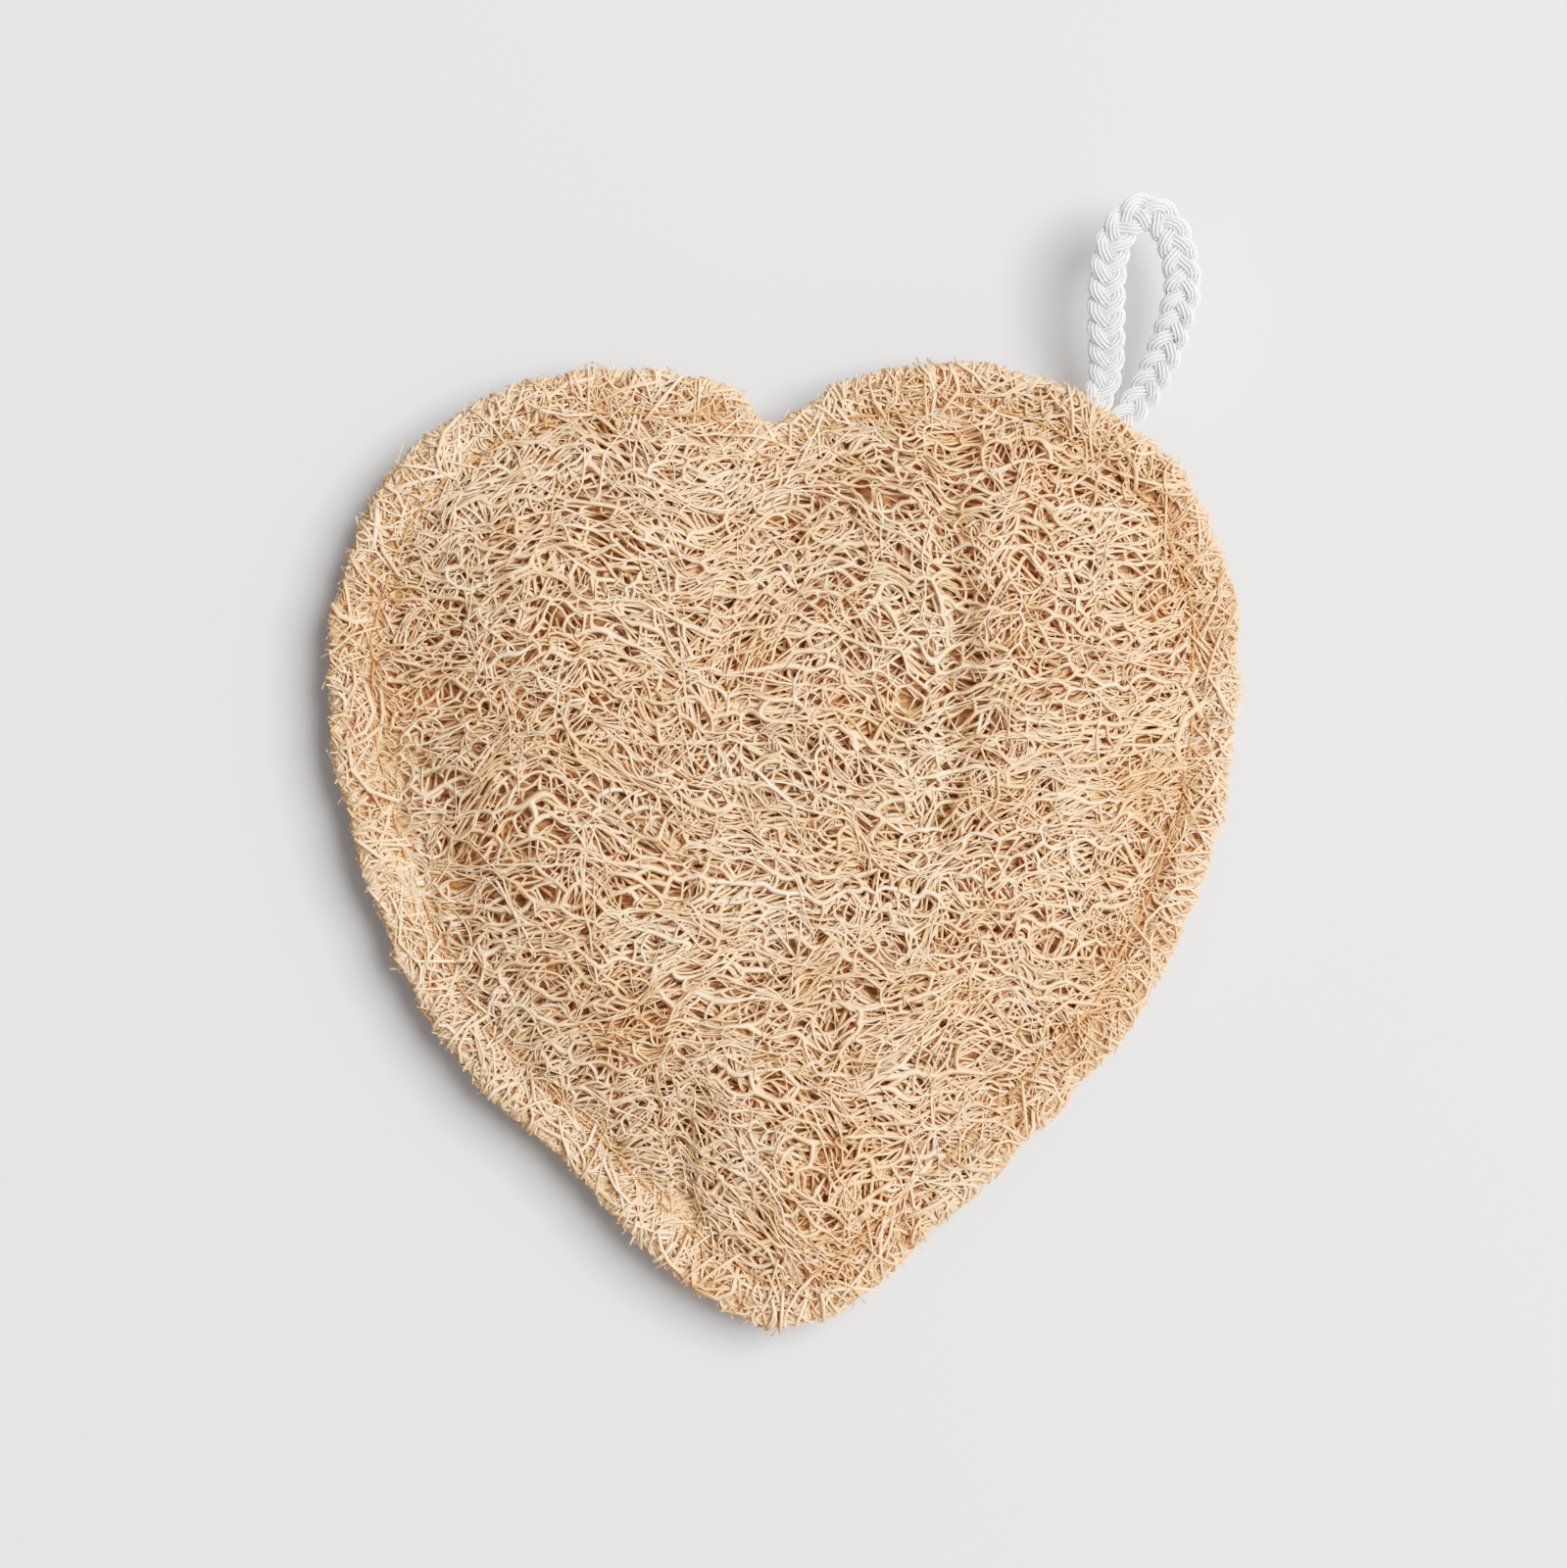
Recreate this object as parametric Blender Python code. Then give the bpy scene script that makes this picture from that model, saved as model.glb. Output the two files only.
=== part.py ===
"""Heart-shaped loofah scrub pad, lying on its back sheet.

Two hearts cut from flattened loofah lie face to face and are sewn together near their edge. Inside
the seam the springy net puffs up, and outside it a flat border ends in short cut fibres. A braided
cord, bent into a loop, has both ends caught between the sheets at the upper right.

+X is the pad's right and +Y runs from its tip to its notch. +Z is up, out of the front sheet.
"""

import math
import random

import bmesh
import bpy
import numpy as np
from mathutils import Matrix, Vector, geometry
from mathutils.bvhtree import BVHTree

MM = 0.001

# All sizes below are in millimetres.

# The heart, clockwise from the notch: x, y, heading in degrees, reach back and reach on.
# The notch is the one sharp corner, so it arrives on one heading and leaves on another.
HEART = (
    (-1.5, 54.5, None, 6.5, 7.5),
    (23.0, 63.5, -2.0, 12.5, 12.5),
    (58.0, 7.0, -101.5, 48.0, 21.5),
    (35.0, -35.5, -137.0, 13.0, 16.5),
    (2.0, -63.5, -172.5, 7.0, 12.0),
    (-35.0, -36.5, 141.0, 12.0, 20.5),
    (-60.0, 23.5, 88.0, 17.5, 26.5),
    (-16.5, 62.5, -5.0, 23.5, 6.5),
)
NOTCH_LEAVES = 43.0
NOTCH_ARRIVES = -52.0
CURVE_STEPS = 24

# The seam runs this far inside the cut edge, and closer to it at the notch.
SEAM_INSET = 5.6
SEAM_INSET_AT_NOTCH = 2.6
NOTCH_REACH = 14.0
CORNER_SLACK = 0.4

# Heights above the middle plane, where the two sheets face each other.
SHEET_GAP = 0.3
BORDER_THICKNESS = 2.5
SEAM_THICKNESS = 1.7
SEAM_WIDTH = 2.4
PUFF_REACH = 27.0
PUFF_POWER = 2.3
FRONT_RISE = 10.4
BACK_RISE = 8.6

# The loofah's own lumps: soft swells in the puffed part.
SWELL_HEIGHT = 0.8
SWELL_SIZE = 11.0
SWELL_COUNT = 14

# The flat spot that the pad lies on, and how far the net round it stays clear of the table.
REST_RADIUS = 11.0
REST_CENTRE = (0.0, 4.0)
REST_CLEARANCE = 0.25

# The raised net: openings wider than they are tall, with sunk middles.
NET_STRETCH = 1.8
FRONT_OPENING = 4.5
BACK_OPENING = 5.8
FRONT_EDGE_STEP = 4.8
BACK_EDGE_STEP = 6.6
OPENING_JITTER = 0.3
SEAM_ROOM = 0.62
FLOOR_SHARE = 0.64
FLOOR_DEPTH = 1.7
FLOOR_DEPTH_RANGE = 0.5
CREST_RANGE = 0.4
THINNEST = 0.7
LEAST_RELIEF = 0.3
RAGGED_EDGE = 0.45

# Cut fibre ends that stand out of the border.
FRONT_FRINGE_STEP = 6.4
BACK_FRINGE_STEP = 9.0
FRINGE_RADIUS = 0.5
FRINGE_TIP_RADIUS = 0.2
FRINGE_LENGTH = (2.3, 4.9)
FRINGE_ROOT = 1.7
FRINGE_SWEEP = 35.0
FRINGE_LIFT = (2.0, 12.0)
FRINGE_HEIGHT = 1.35
FRINGE_HEIGHT_RANGE = 0.3
FRINGE_SLIDE = 2.4

# Sewing thread.
THREAD_RADIUS = 0.42
THREAD_STEP = 3.0
THREAD_LOOKS = 4
ABOVE_ALL = 40.0
TOUCH_GAP = 0.3

# The hanging loop's route in plan, from its left tail to its right one, and its height over the
# middle plane. Both tails lie between the sheets.
CORD_DIAMETER = 4.8
LOOP_ROUTE = (
    (37.1, 52.6, 0.0),
    (39.6, 55.9, 0.0),
    (42.1, 59.3, 0.0),
    (42.9, 63.2, 0.6),
    (42.8, 67.4, 2.3),
    (42.9, 75.2, 4.1),
    (44.3, 80.4, 4.6),
    (47.6, 82.9, 4.7),
    (51.0, 80.6, 4.6),
    (52.7, 74.3, 4.2),
    (52.2, 70.0, 3.4),
    (50.4, 64.4, 1.5),
    (47.9, 59.4, 0.0),
    (45.5, 56.0, 0.0),
    (43.1, 52.8, 0.0),
    (40.7, 49.5, 0.0),
)
LOOP_STEP = 3.0
ROUTE_STEPS = 12
TAIL_WIDTH = 4.1
TAIL_THICKNESS = 2.4
TAIL_BLEND = 7.0
POCKET_DEPTH = 9.6
POCKET_MOUTH = 6.0
LOOP_BULGE = 1.3
LOOP_BULGE_SIZE = 7.0
LOOP_CALM = 0.8
LOOP_CLEAR = 8.2

SEED = 20

COLOURS = {
    "front_loofah_sheet": ((0.70, 0.50, 0.31), 0.85),
    "back_loofah_sheet": ((0.62, 0.41, 0.24), 0.85),
    "seam_thread": ((0.66, 0.36, 0.10), 0.6),
    "hanging_loop": ((0.86, 0.86, 0.85), 0.8),
}


def clear_scene():
    """Starts from an empty scene."""
    for old in list(bpy.data.objects):
        bpy.data.objects.remove(old, do_unlink=True)


def new_collection(name):
    collection = bpy.data.collections.new(name)
    bpy.context.scene.collection.children.link(collection)
    return collection


def plain_material(name):
    """A Principled material with one part's colour and roughness."""
    colour, roughness = COLOURS[name]
    material = bpy.data.materials.new(name)
    material.use_nodes = True
    shader = material.node_tree.nodes["Principled BSDF"]
    shader.inputs["Base Color"].default_value = (*colour, 1.0)
    shader.inputs["Roughness"].default_value = roughness
    shader.inputs["Metallic"].default_value = 0.0
    material.diffuse_color = (*colour, 1.0)
    return material


def heading(degrees):
    angle = math.radians(degrees)
    return Vector((math.cos(angle), math.sin(angle)))


def heart_outline():
    """Dense points round the cut edge, clockwise from the notch."""
    points = []
    for index, (x, y, turn, _, reach_on) in enumerate(HEART):
        next_x, next_y, next_turn, reach_back, _ = HEART[(index + 1) % len(HEART)]
        leaves = heading(NOTCH_LEAVES if turn is None else turn)
        arrives = heading(NOTCH_ARRIVES if next_turn is None else next_turn)
        start = Vector((x, y))
        end = Vector((next_x, next_y))
        stretch = geometry.interpolate_bezier(
            start, start + leaves * reach_on, end - arrives * reach_back, end, CURVE_STEPS + 1
        )
        points += [(p.x, p.y) for p in stretch[:-1]]
    return np.array(points)


def evenly(loop, step):
    """Points along a closed loop at an even spacing near step."""
    ring = np.vstack([loop, loop[:1]])
    run = np.concatenate([[0.0], np.cumsum(np.linalg.norm(np.diff(ring, axis=0), axis=1))])
    count = round(run[-1] / step)
    places = np.arange(count) * run[-1] / count
    return np.stack([np.interp(places, run, ring[:, k]) for k in range(ring.shape[1])], axis=1)


def distance_to(points, loop):
    """Each point's distance to a closed loop, in plan."""
    starts = loop
    spans = np.roll(loop, -1, axis=0) - loop
    nearest = np.full(len(points), np.inf)
    for start, span in zip(starts, spans):
        along = np.clip((points - start) @ span / max(span @ span, 1e-12), 0.0, 1.0)
        reach = np.linalg.norm(points - start - along[:, None] * span, axis=1)
        nearest = np.minimum(nearest, reach)
    return nearest


def is_inside(points, loop):
    """Whether each point lies inside a closed loop, by counting crossings."""
    inside = np.zeros(len(points), bool)
    x, y = points[:, 0], points[:, 1]
    for (x0, y0), (x1, y1) in zip(loop, np.roll(loop, -1, axis=0)):
        if y0 == y1:
            continue
        crossing = (y0 > y) != (y1 > y)
        inside ^= crossing & (x < x0 + (y - y0) * (x1 - x0) / (y1 - y0))
    return inside


def outward(loop):
    """Unit vectors out of a clockwise loop, one at each point."""
    along = np.roll(loop, -1, axis=0) - np.roll(loop, 1, axis=0)
    along /= np.linalg.norm(along, axis=1)[:, None]
    return np.stack([-along[:, 1], along[:, 0]], axis=1)


def seam_line(outline):
    """The seam's loop, a set distance inside the cut edge."""
    notch = np.array(HEART[0][:2])
    near = np.clip(np.linalg.norm(outline - notch, axis=1) / NOTCH_REACH, 0.0, 1.0)
    inset = SEAM_INSET_AT_NOTCH + (SEAM_INSET - SEAM_INSET_AT_NOTCH) * near
    line = outline - outward(outline) * inset[:, None]
    kept = distance_to(line, outline) > inset - CORNER_SLACK
    return line[kept]


def loop_root():
    """Where the loop leaves the pad, halfway between its two legs."""
    left = np.array(LOOP_ROUTE[2][:2])
    right = np.array(LOOP_ROUTE[-3][:2])
    return (left + right) / 2


class Pad:
    """The pad's plan and the height of its surface over any point."""

    def __init__(self):
        self.outline = heart_outline()
        self.seam = seam_line(self.outline)
        chance = np.random.default_rng(SEED)
        low = self.outline.min(axis=0)
        high = self.outline.max(axis=0)
        self.swells = chance.uniform(low, high, (SWELL_COUNT, 2))
        self.swell_heights = chance.uniform(-SWELL_HEIGHT, SWELL_HEIGHT, SWELL_COUNT)

    def swell(self, points):
        """The soft lumps, as a sum of round bumps."""
        total = np.zeros(len(points))
        for centre, height in zip(self.swells, self.swell_heights):
            square = ((points - centre) ** 2).sum(axis=1)
            total += height * np.exp(-square / (2 * SWELL_SIZE**2))
        return total

    def near_loop(self, points):
        """1 at the loop's root, falling to 0 away from it."""
        square = ((points - loop_root()) ** 2).sum(axis=1)
        return np.exp(-square / (2 * LOOP_BULGE_SIZE**2))

    def height(self, points, rise):
        """Height over the middle plane: a puffed middle, a pinched seam and a flat border."""
        depth = distance_to(points, self.seam)
        inside = is_inside(points, self.seam)
        share = np.clip(depth / PUFF_REACH, 0.0, 1.0)
        puff = 1.0 - (1.0 - share) ** PUFF_POWER
        middle = SEAM_THICKNESS + (rise - SEAM_THICKNESS) * puff + self.swell(points) * share
        ramp = np.clip(depth / SEAM_WIDTH, 0.0, 1.0)
        border = SEAM_THICKNESS + (BORDER_THICKNESS - SEAM_THICKNESS) * ramp
        return np.where(inside, middle, border) + LOOP_BULGE * self.near_loop(points)


def net_centres(pad, opening, edge_step, chance):
    """The middles of the net's openings: a row on the edge, one on the seam, and a loose lattice."""
    edge = evenly(pad.outline, edge_step)
    seam = evenly(pad.seam, edge_step)
    wide = opening * NET_STRETCH
    tall = opening * math.sqrt(3) / 2
    low = pad.outline.min(axis=0)
    high = pad.outline.max(axis=0)
    lattice = []
    for row in range(int((high[1] - low[1]) / tall) + 1):
        for column in range(int((high[0] - low[0]) / wide) + 2):
            x = low[0] + (column + 0.5 * (row % 2)) * wide
            y = low[1] + row * tall
            lattice.append((x + wide * chance.uniform(-OPENING_JITTER, OPENING_JITTER),
                            y + tall * chance.uniform(-OPENING_JITTER, OPENING_JITTER)))
    lattice = np.array(lattice)
    clear = is_inside(lattice, pad.seam) & (distance_to(lattice, pad.seam) > opening * SEAM_ROOM)
    return edge, np.vstack([seam, lattice[clear]])


def dual_of(mesh):
    """The net whose openings are centred on this mesh's points."""
    tree = bpy.data.node_groups.new("net_openings", "GeometryNodeTree")
    tree.interface.new_socket("Geometry", in_out="INPUT", socket_type="NodeSocketGeometry")
    tree.interface.new_socket("Geometry", in_out="OUTPUT", socket_type="NodeSocketGeometry")
    source = tree.nodes.new("NodeGroupInput")
    dual = tree.nodes.new("GeometryNodeDualMesh")
    dual.inputs["Keep Boundaries"].default_value = True
    sink = tree.nodes.new("NodeGroupOutput")
    tree.links.new(source.outputs[0], dual.inputs[0])
    tree.links.new(dual.outputs[0], sink.inputs[0])
    holder = bpy.data.objects.new("net_plan", mesh)
    bpy.context.scene.collection.objects.link(holder)
    holder.modifiers.new("openings", "NODES").node_group = tree
    graph = bpy.context.evaluated_depsgraph_get()
    net = bpy.data.meshes.new_from_object(holder.evaluated_get(graph))
    bpy.data.objects.remove(holder, do_unlink=True)
    bpy.data.node_groups.remove(tree)
    return net


def net_plan(pad, opening, edge_step, chance):
    """The sheet's plan as a flat mesh, one face for each opening of its net."""
    edge, inner = net_centres(pad, opening, edge_step, chance)
    squash = np.array([1.0 / NET_STRETCH, 1.0])
    points = [Vector(p) for p in np.vstack([edge, inner]) * squash]
    rim = [(i, (i + 1) % len(edge)) for i in range(len(edge))]
    flat, _, faces, *_ = geometry.delaunay_2d_cdt(points, rim, [], 1, 1e-5)
    mesh = bpy.data.meshes.new("net_plan")
    mesh.from_pydata([(p.x * NET_STRETCH, p.y, 0.0) for p in flat], [], faces)
    return dual_of(mesh)


def plan_of(verts):
    return np.array([vert.co[:2] for vert in verts])


def raise_net(work, pad, rise, chance, rest):
    """Lifts the net's crests to the sheet's surface and sinks the middle of each opening."""
    openings = list(work.faces)
    rim = {vert for edge in work.edges if edge.is_boundary for vert in edge.verts}
    bmesh.ops.inset_individual(work, faces=openings, thickness=0.0, depth=0.0)
    sunk = {}
    for face in openings:
        centre = face.calc_center_median()
        depth = FLOOR_DEPTH + chance.uniform(-FLOOR_DEPTH_RANGE, FLOOR_DEPTH_RANGE)
        for vert in face.verts:
            vert.co = centre.lerp(vert.co, FLOOR_SHARE)
            sunk[vert] = depth
    verts = list(work.verts)
    plan = plan_of(verts)
    top = pad.height(plan, rise)
    thick = np.clip((top - THINNEST) / (BORDER_THICKNESS + FLOOR_DEPTH), LEAST_RELIEF, 1.0)
    relief = thick * (1.0 - LOOP_CALM * pad.near_loop(plan))
    for vert, height, share in zip(verts, top, relief):
        if vert in sunk:
            vert.co.z = max(height - sunk[vert] * share, THINNEST)
        elif vert in rim:
            vert.co.z = height
        else:
            vert.co.z = height + chance.uniform(-CREST_RANGE, CREST_RANGE) * share
    if rest:
        press_flat(verts, plan, rise)
    for vert in rim:
        away = Vector((*pad_outward(pad, vert.co), 0.0))
        vert.co += away * chance.uniform(-RAGGED_EDGE, RAGGED_EDGE)


def press_flat(verts, plan, rise):
    """Levels the spot that the sheet lies on, and keeps the net round it a little clear."""
    level = np.linalg.norm(plan - REST_CENTRE, axis=1) < REST_RADIUS
    for vert, lies in zip(verts, level):
        vert.co.z = rise if lies else min(vert.co.z, rise - REST_CLEARANCE)


def pad_outward(pad, place):
    """The way out of the pad from a place on its cut edge."""
    nearest = np.argmin(((pad.outline - np.array(place[:2])) ** 2).sum(axis=1))
    return outward(pad.outline)[nearest]


def close_sheet(work):
    """Drops a wall from the net's rim to the face that meets the other sheet, and fills that face."""
    rim = [edge for edge in work.edges if edge.is_boundary]
    wall = bmesh.ops.extrude_edge_only(work, edges=rim)["geom"]
    foot = [item for item in wall if isinstance(item, bmesh.types.BMVert)]
    for vert in foot:
        vert.co.z = SHEET_GAP / 2
    low = [item for item in wall if isinstance(item, bmesh.types.BMEdge) and item.is_boundary]
    bmesh.ops.triangle_fill(work, edges=low, use_beauty=True)
    bmesh.ops.triangulate(work, faces=work.faces)
    bmesh.ops.recalc_face_normals(work, faces=work.faces)


def object_from(work, name, collection, material=None):
    """Turns millimetres into metres and puts the finished mesh in the scene."""
    work.transform(Matrix.Scale(MM, 4))
    mesh = bpy.data.meshes.new(name)
    work.to_mesh(mesh)
    work.free()
    made = bpy.data.objects.new(name, mesh)
    collection.objects.link(made)
    if material:
        mesh.materials.append(material)
    return made


def fringe_needle(place, away, chance, name, collection):
    """One cut fibre end: a slim tapered three-sided prism with its root in the border."""
    shortest, longest = FRINGE_LENGTH
    length = shortest + (longest - shortest) * chance.random() ** 2
    work = bmesh.new()
    bmesh.ops.create_cone(
        work, cap_ends=True, segments=3, radius1=FRINGE_RADIUS, radius2=FRINGE_TIP_RADIUS, depth=length
    )
    bmesh.ops.translate(work, verts=work.verts, vec=(0.0, 0.0, length / 2 - FRINGE_ROOT))
    sweep = math.atan2(away[1], away[0]) + math.radians(chance.uniform(-FRINGE_SWEEP, FRINGE_SWEEP))
    lift = math.radians(chance.uniform(*FRINGE_LIFT))
    along = Vector((math.cos(sweep) * math.cos(lift), math.sin(sweep) * math.cos(lift), math.sin(lift)))
    work.transform(Matrix.Translation(place) @ along.to_track_quat("Z", "Y").to_matrix().to_4x4())
    return object_from(work, name, collection)


def add_fringe(sheet, pad, step, chance, name):
    """Joins the cut fibre ends to the border with one union."""
    ends = new_collection(name + "_fringe")
    places = evenly(pad.outline, step)
    ways = outward(places)
    loop = loop_root()
    for index, (place, away) in enumerate(zip(places, ways)):
        slid = place + np.array([away[1], -away[0]]) * chance.uniform(-FRINGE_SLIDE, FRINGE_SLIDE)
        if np.linalg.norm(slid - loop) < LOOP_CLEAR:
            continue
        height = FRINGE_HEIGHT + chance.uniform(-FRINGE_HEIGHT_RANGE, FRINGE_HEIGHT_RANGE)
        root = Vector((*slid, height))
        fringe_needle(root, away, chance, f"{name}_end_{index}", ends)
    union = sheet.modifiers.new("fringe", "BOOLEAN")
    union.operation = "UNION"
    union.operand_type = "COLLECTION"
    union.collection = ends
    union.solver = "MANIFOLD"
    apply_modifiers(sheet)
    for end in list(ends.objects):
        bpy.data.objects.remove(end, do_unlink=True)
    bpy.data.collections.remove(ends)


def apply_modifiers(made):
    graph = bpy.context.evaluated_depsgraph_get()
    mesh = bpy.data.meshes.new_from_object(made.evaluated_get(graph))
    made.modifiers.clear()
    made.data = mesh


def pocket_cutter(collection):
    """The space between the sheets that the loop's two flattened tails lie in."""
    left_in, left_out = np.array(LOOP_ROUTE[0][:2]), np.array(LOOP_ROUTE[2][:2])
    right_in = np.array(LOOP_ROUTE[-1][:2])
    inward = left_in - left_out
    inward /= np.linalg.norm(inward)
    middle = (left_in + right_in) / 2
    wide = np.linalg.norm(left_in - right_in) + TAIL_WIDTH + 2 * TOUCH_GAP
    work = bmesh.new()
    bmesh.ops.create_cube(work, size=1.0)
    deep = POCKET_DEPTH + POCKET_MOUTH
    bmesh.ops.scale(work, verts=work.verts, vec=(wide, deep, TAIL_THICKNESS + 2 * TOUCH_GAP))
    centre = middle + inward * TOUCH_GAP - inward * deep / 2
    turn = Matrix.Rotation(math.atan2(inward[1], inward[0]) - math.pi / 2, 4, "Z")
    work.transform(Matrix.Translation((*centre, 0.0)) @ turn)
    cutter = object_from(work, "loop_pocket", collection)
    cutter.hide_render = True
    cutter.display_type = "WIRE"
    return cutter


def loofah_sheet(name, pad, cutter, collection, opening, edge_step, fringe_step, rise, face_down):
    """One heart of loofah: a raised net on its outer face and a flat inner face."""
    chance = random.Random(SEED + face_down)
    work = bmesh.new()
    work.from_mesh(net_plan(pad, opening, edge_step, chance))
    raise_net(work, pad, rise, chance, rest=face_down)
    close_sheet(work)
    sheet = object_from(work, name, collection, plain_material(name))
    add_fringe(sheet, pad, fringe_step, chance, name)
    if face_down:
        sheet.data.transform(Matrix.Scale(-1.0, 4, (0.0, 0.0, 1.0)))
        sheet.data.flip_normals()
    cut = sheet.modifiers.new("loop_pocket", "BOOLEAN")
    cut.operation = "DIFFERENCE"
    cut.object = cutter
    apply_modifiers(sheet)
    return sheet


def seam_thread(name, pad, sheet, collection, side):
    """A closed run of thread that rides on the net along the seam, just clear of it."""
    tree = BVHTree.FromObject(sheet, bpy.context.evaluated_depsgraph_get())
    fine = evenly(pad.seam, THREAD_STEP / THREAD_LOOKS)
    ways = outward(fine)
    tops = []
    for place, away in zip(fine, ways):
        found = []
        for slide in (-THREAD_RADIUS, 0.0, THREAD_RADIUS):
            start = Vector((*(place + away * slide), ABOVE_ALL * side)) * MM
            hit, *_ = tree.ray_cast(start, Vector((0.0, 0.0, -side)))
            found.append(abs(hit.z) / MM)
        tops.append(max(found))
    tops = np.array(tops)
    window = range(-THREAD_LOOKS - 1, THREAD_LOOKS + 2)
    clear = np.max([np.roll(tops, shift) for shift in window], axis=0)
    chosen = np.arange(0, len(fine) - THREAD_LOOKS // 2, THREAD_LOOKS)
    curve = bpy.data.curves.new(name, "CURVE")
    curve.dimensions = "3D"
    curve.bevel_depth = THREAD_RADIUS * MM
    curve.bevel_resolution = 0
    run = curve.splines.new("POLY")
    run.points.add(len(chosen) - 1)
    for point, index in zip(run.points, chosen):
        height = side * (clear[index] + THREAD_RADIUS + TOUCH_GAP)
        point.co = (fine[index][0] * MM, fine[index][1] * MM, height * MM, 1.0)
    run.use_cyclic_u = True
    holder = bpy.data.objects.new(name, curve)
    bpy.context.scene.collection.objects.link(holder)
    made = mesh_from_curve(holder, name, collection)
    made.data.materials.clear()
    made.data.materials.append(bpy.data.materials.get("seam_thread") or plain_material("seam_thread"))
    return made


def mesh_from_curve(holder, name, collection):
    """Makes a curve's tube a closed mesh."""
    graph = bpy.context.evaluated_depsgraph_get()
    mesh = bpy.data.meshes.new_from_object(holder.evaluated_get(graph))
    work = bmesh.new()
    work.from_mesh(mesh)
    bmesh.ops.remove_doubles(work, verts=work.verts, dist=1e-6)
    bmesh.ops.recalc_face_normals(work, faces=work.faces)
    work.to_mesh(mesh)
    work.free()
    placed = holder.matrix_world.copy()
    curve = holder.data
    bpy.data.objects.remove(holder, do_unlink=True)
    bpy.data.curves.remove(curve)
    made = bpy.data.objects.new(name, mesh)
    made.matrix_world = placed
    collection.objects.link(made)
    return made


def smooth_route(route, step):
    """Points at an even spacing on a smooth curve through the route's own points."""
    route = np.array(route)
    ends = np.vstack([2 * route[0] - route[1], route, 2 * route[-1] - route[-2]])
    fine = []
    for before, start, end, after in zip(ends, ends[1:], ends[2:], ends[3:]):
        for t in np.linspace(0.0, 1.0, ROUTE_STEPS, endpoint=False):
            fine.append(0.5 * (2 * start + (end - before) * t
                               + (2 * before - 5 * start + 4 * end - after) * t**2
                               + (3 * start - before - 3 * end + after) * t**3))
    fine = np.array(fine + [route[-1]])
    run = np.concatenate([[0.0], np.cumsum(np.linalg.norm(np.diff(fine, axis=0), axis=1))])
    count = round(run[-1] / step)
    places = np.linspace(0.0, run[-1], count + 1)
    return np.stack([np.interp(places, run, fine[:, k]) for k in range(3)], axis=1), places


def hanging_loop(collection):
    """The cord's loop, with its two tails pressed flat between the sheets."""
    points, places = smooth_route(LOOP_ROUTE, LOOP_STEP)
    curve = bpy.data.curves.new("hanging_loop", "CURVE")
    curve.dimensions = "3D"
    curve.bevel_depth = CORD_DIAMETER / 2 * MM
    curve.bevel_resolution = 3
    curve.use_fill_caps = True
    run = curve.splines.new("POLY")
    run.points.add(len(points) - 1)
    tail = POCKET_DEPTH - 1.0
    from_end = np.minimum(places, places[-1] - places)
    open_share = np.clip((from_end - tail) / TAIL_BLEND, 0.0, 1.0)
    widths = TAIL_WIDTH + (CORD_DIAMETER - TAIL_WIDTH) * open_share
    for point, place, width in zip(run.points, points, widths):
        point.co = (*(place * MM), 1.0)
        point.radius = width / CORD_DIAMETER
    holder = bpy.data.objects.new("hanging_loop", curve)
    bpy.context.scene.collection.objects.link(holder)
    made = mesh_from_curve(holder, "hanging_loop", collection)
    flatten_tails(made.data, points, widths, open_share)
    made.data.materials.clear()
    made.data.materials.append(plain_material("hanging_loop"))
    made.data.shade_smooth()
    return made


def flatten_tails(mesh, points, widths, open_share):
    """Presses the cord to the tails' thickness where the sheets hold it."""
    thickness = TAIL_THICKNESS + (CORD_DIAMETER - TAIL_THICKNESS) * open_share
    for vert in mesh.vertices:
        nearest = np.argmin(((points * MM - np.array(vert.co)) ** 2).sum(axis=1))
        middle = points[nearest][2] * MM
        vert.co.z = middle + (vert.co.z - middle) * thickness[nearest] / widths[nearest]


def stand_on_origin(pieces, sheets):
    """Moves everything so that the sheets' box stands on the origin, centred."""
    corners = np.array([vert.co[:] for sheet in sheets for vert in sheet.data.vertices])
    low, high = corners.min(axis=0), corners.max(axis=0)
    shift = Matrix.Translation((-(low[0] + high[0]) / 2, -(low[1] + high[1]) / 2, -low[2]))
    for piece in pieces:
        piece.data.transform(shift)
    print("moved by, mm:", [round(v / MM, 3) for v in shift.translation])
    print("sheets, mm:", [round(v / MM, 2) for v in high - low])


def main():
    clear_scene()
    parts = new_collection("loofah_scrub_pad")
    cutters = new_collection("cutters")
    cutters.hide_render = True
    pad = Pad()
    cutter = pocket_cutter(cutters)
    front = loofah_sheet("front_loofah_sheet", pad, cutter, parts, FRONT_OPENING, FRONT_EDGE_STEP,
                         FRONT_FRINGE_STEP, FRONT_RISE, False)
    back = loofah_sheet("back_loofah_sheet", pad, cutter, parts, BACK_OPENING, BACK_EDGE_STEP,
                        BACK_FRINGE_STEP, BACK_RISE, True)
    top_thread = seam_thread("seam_top_thread", pad, front, parts, 1)
    under_thread = seam_thread("seam_under_thread", pad, back, parts, -1)
    loop = hanging_loop(parts)
    bpy.data.objects.remove(cutter, do_unlink=True)
    stand_on_origin((front, back, top_thread, under_thread, loop), (front, back))
    for piece in (front, back, top_thread, under_thread, loop):
        triangles = sum(len(face.vertices) - 2 for face in piece.data.polygons)
        print(piece.name, "triangles:", triangles)


main()
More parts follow.
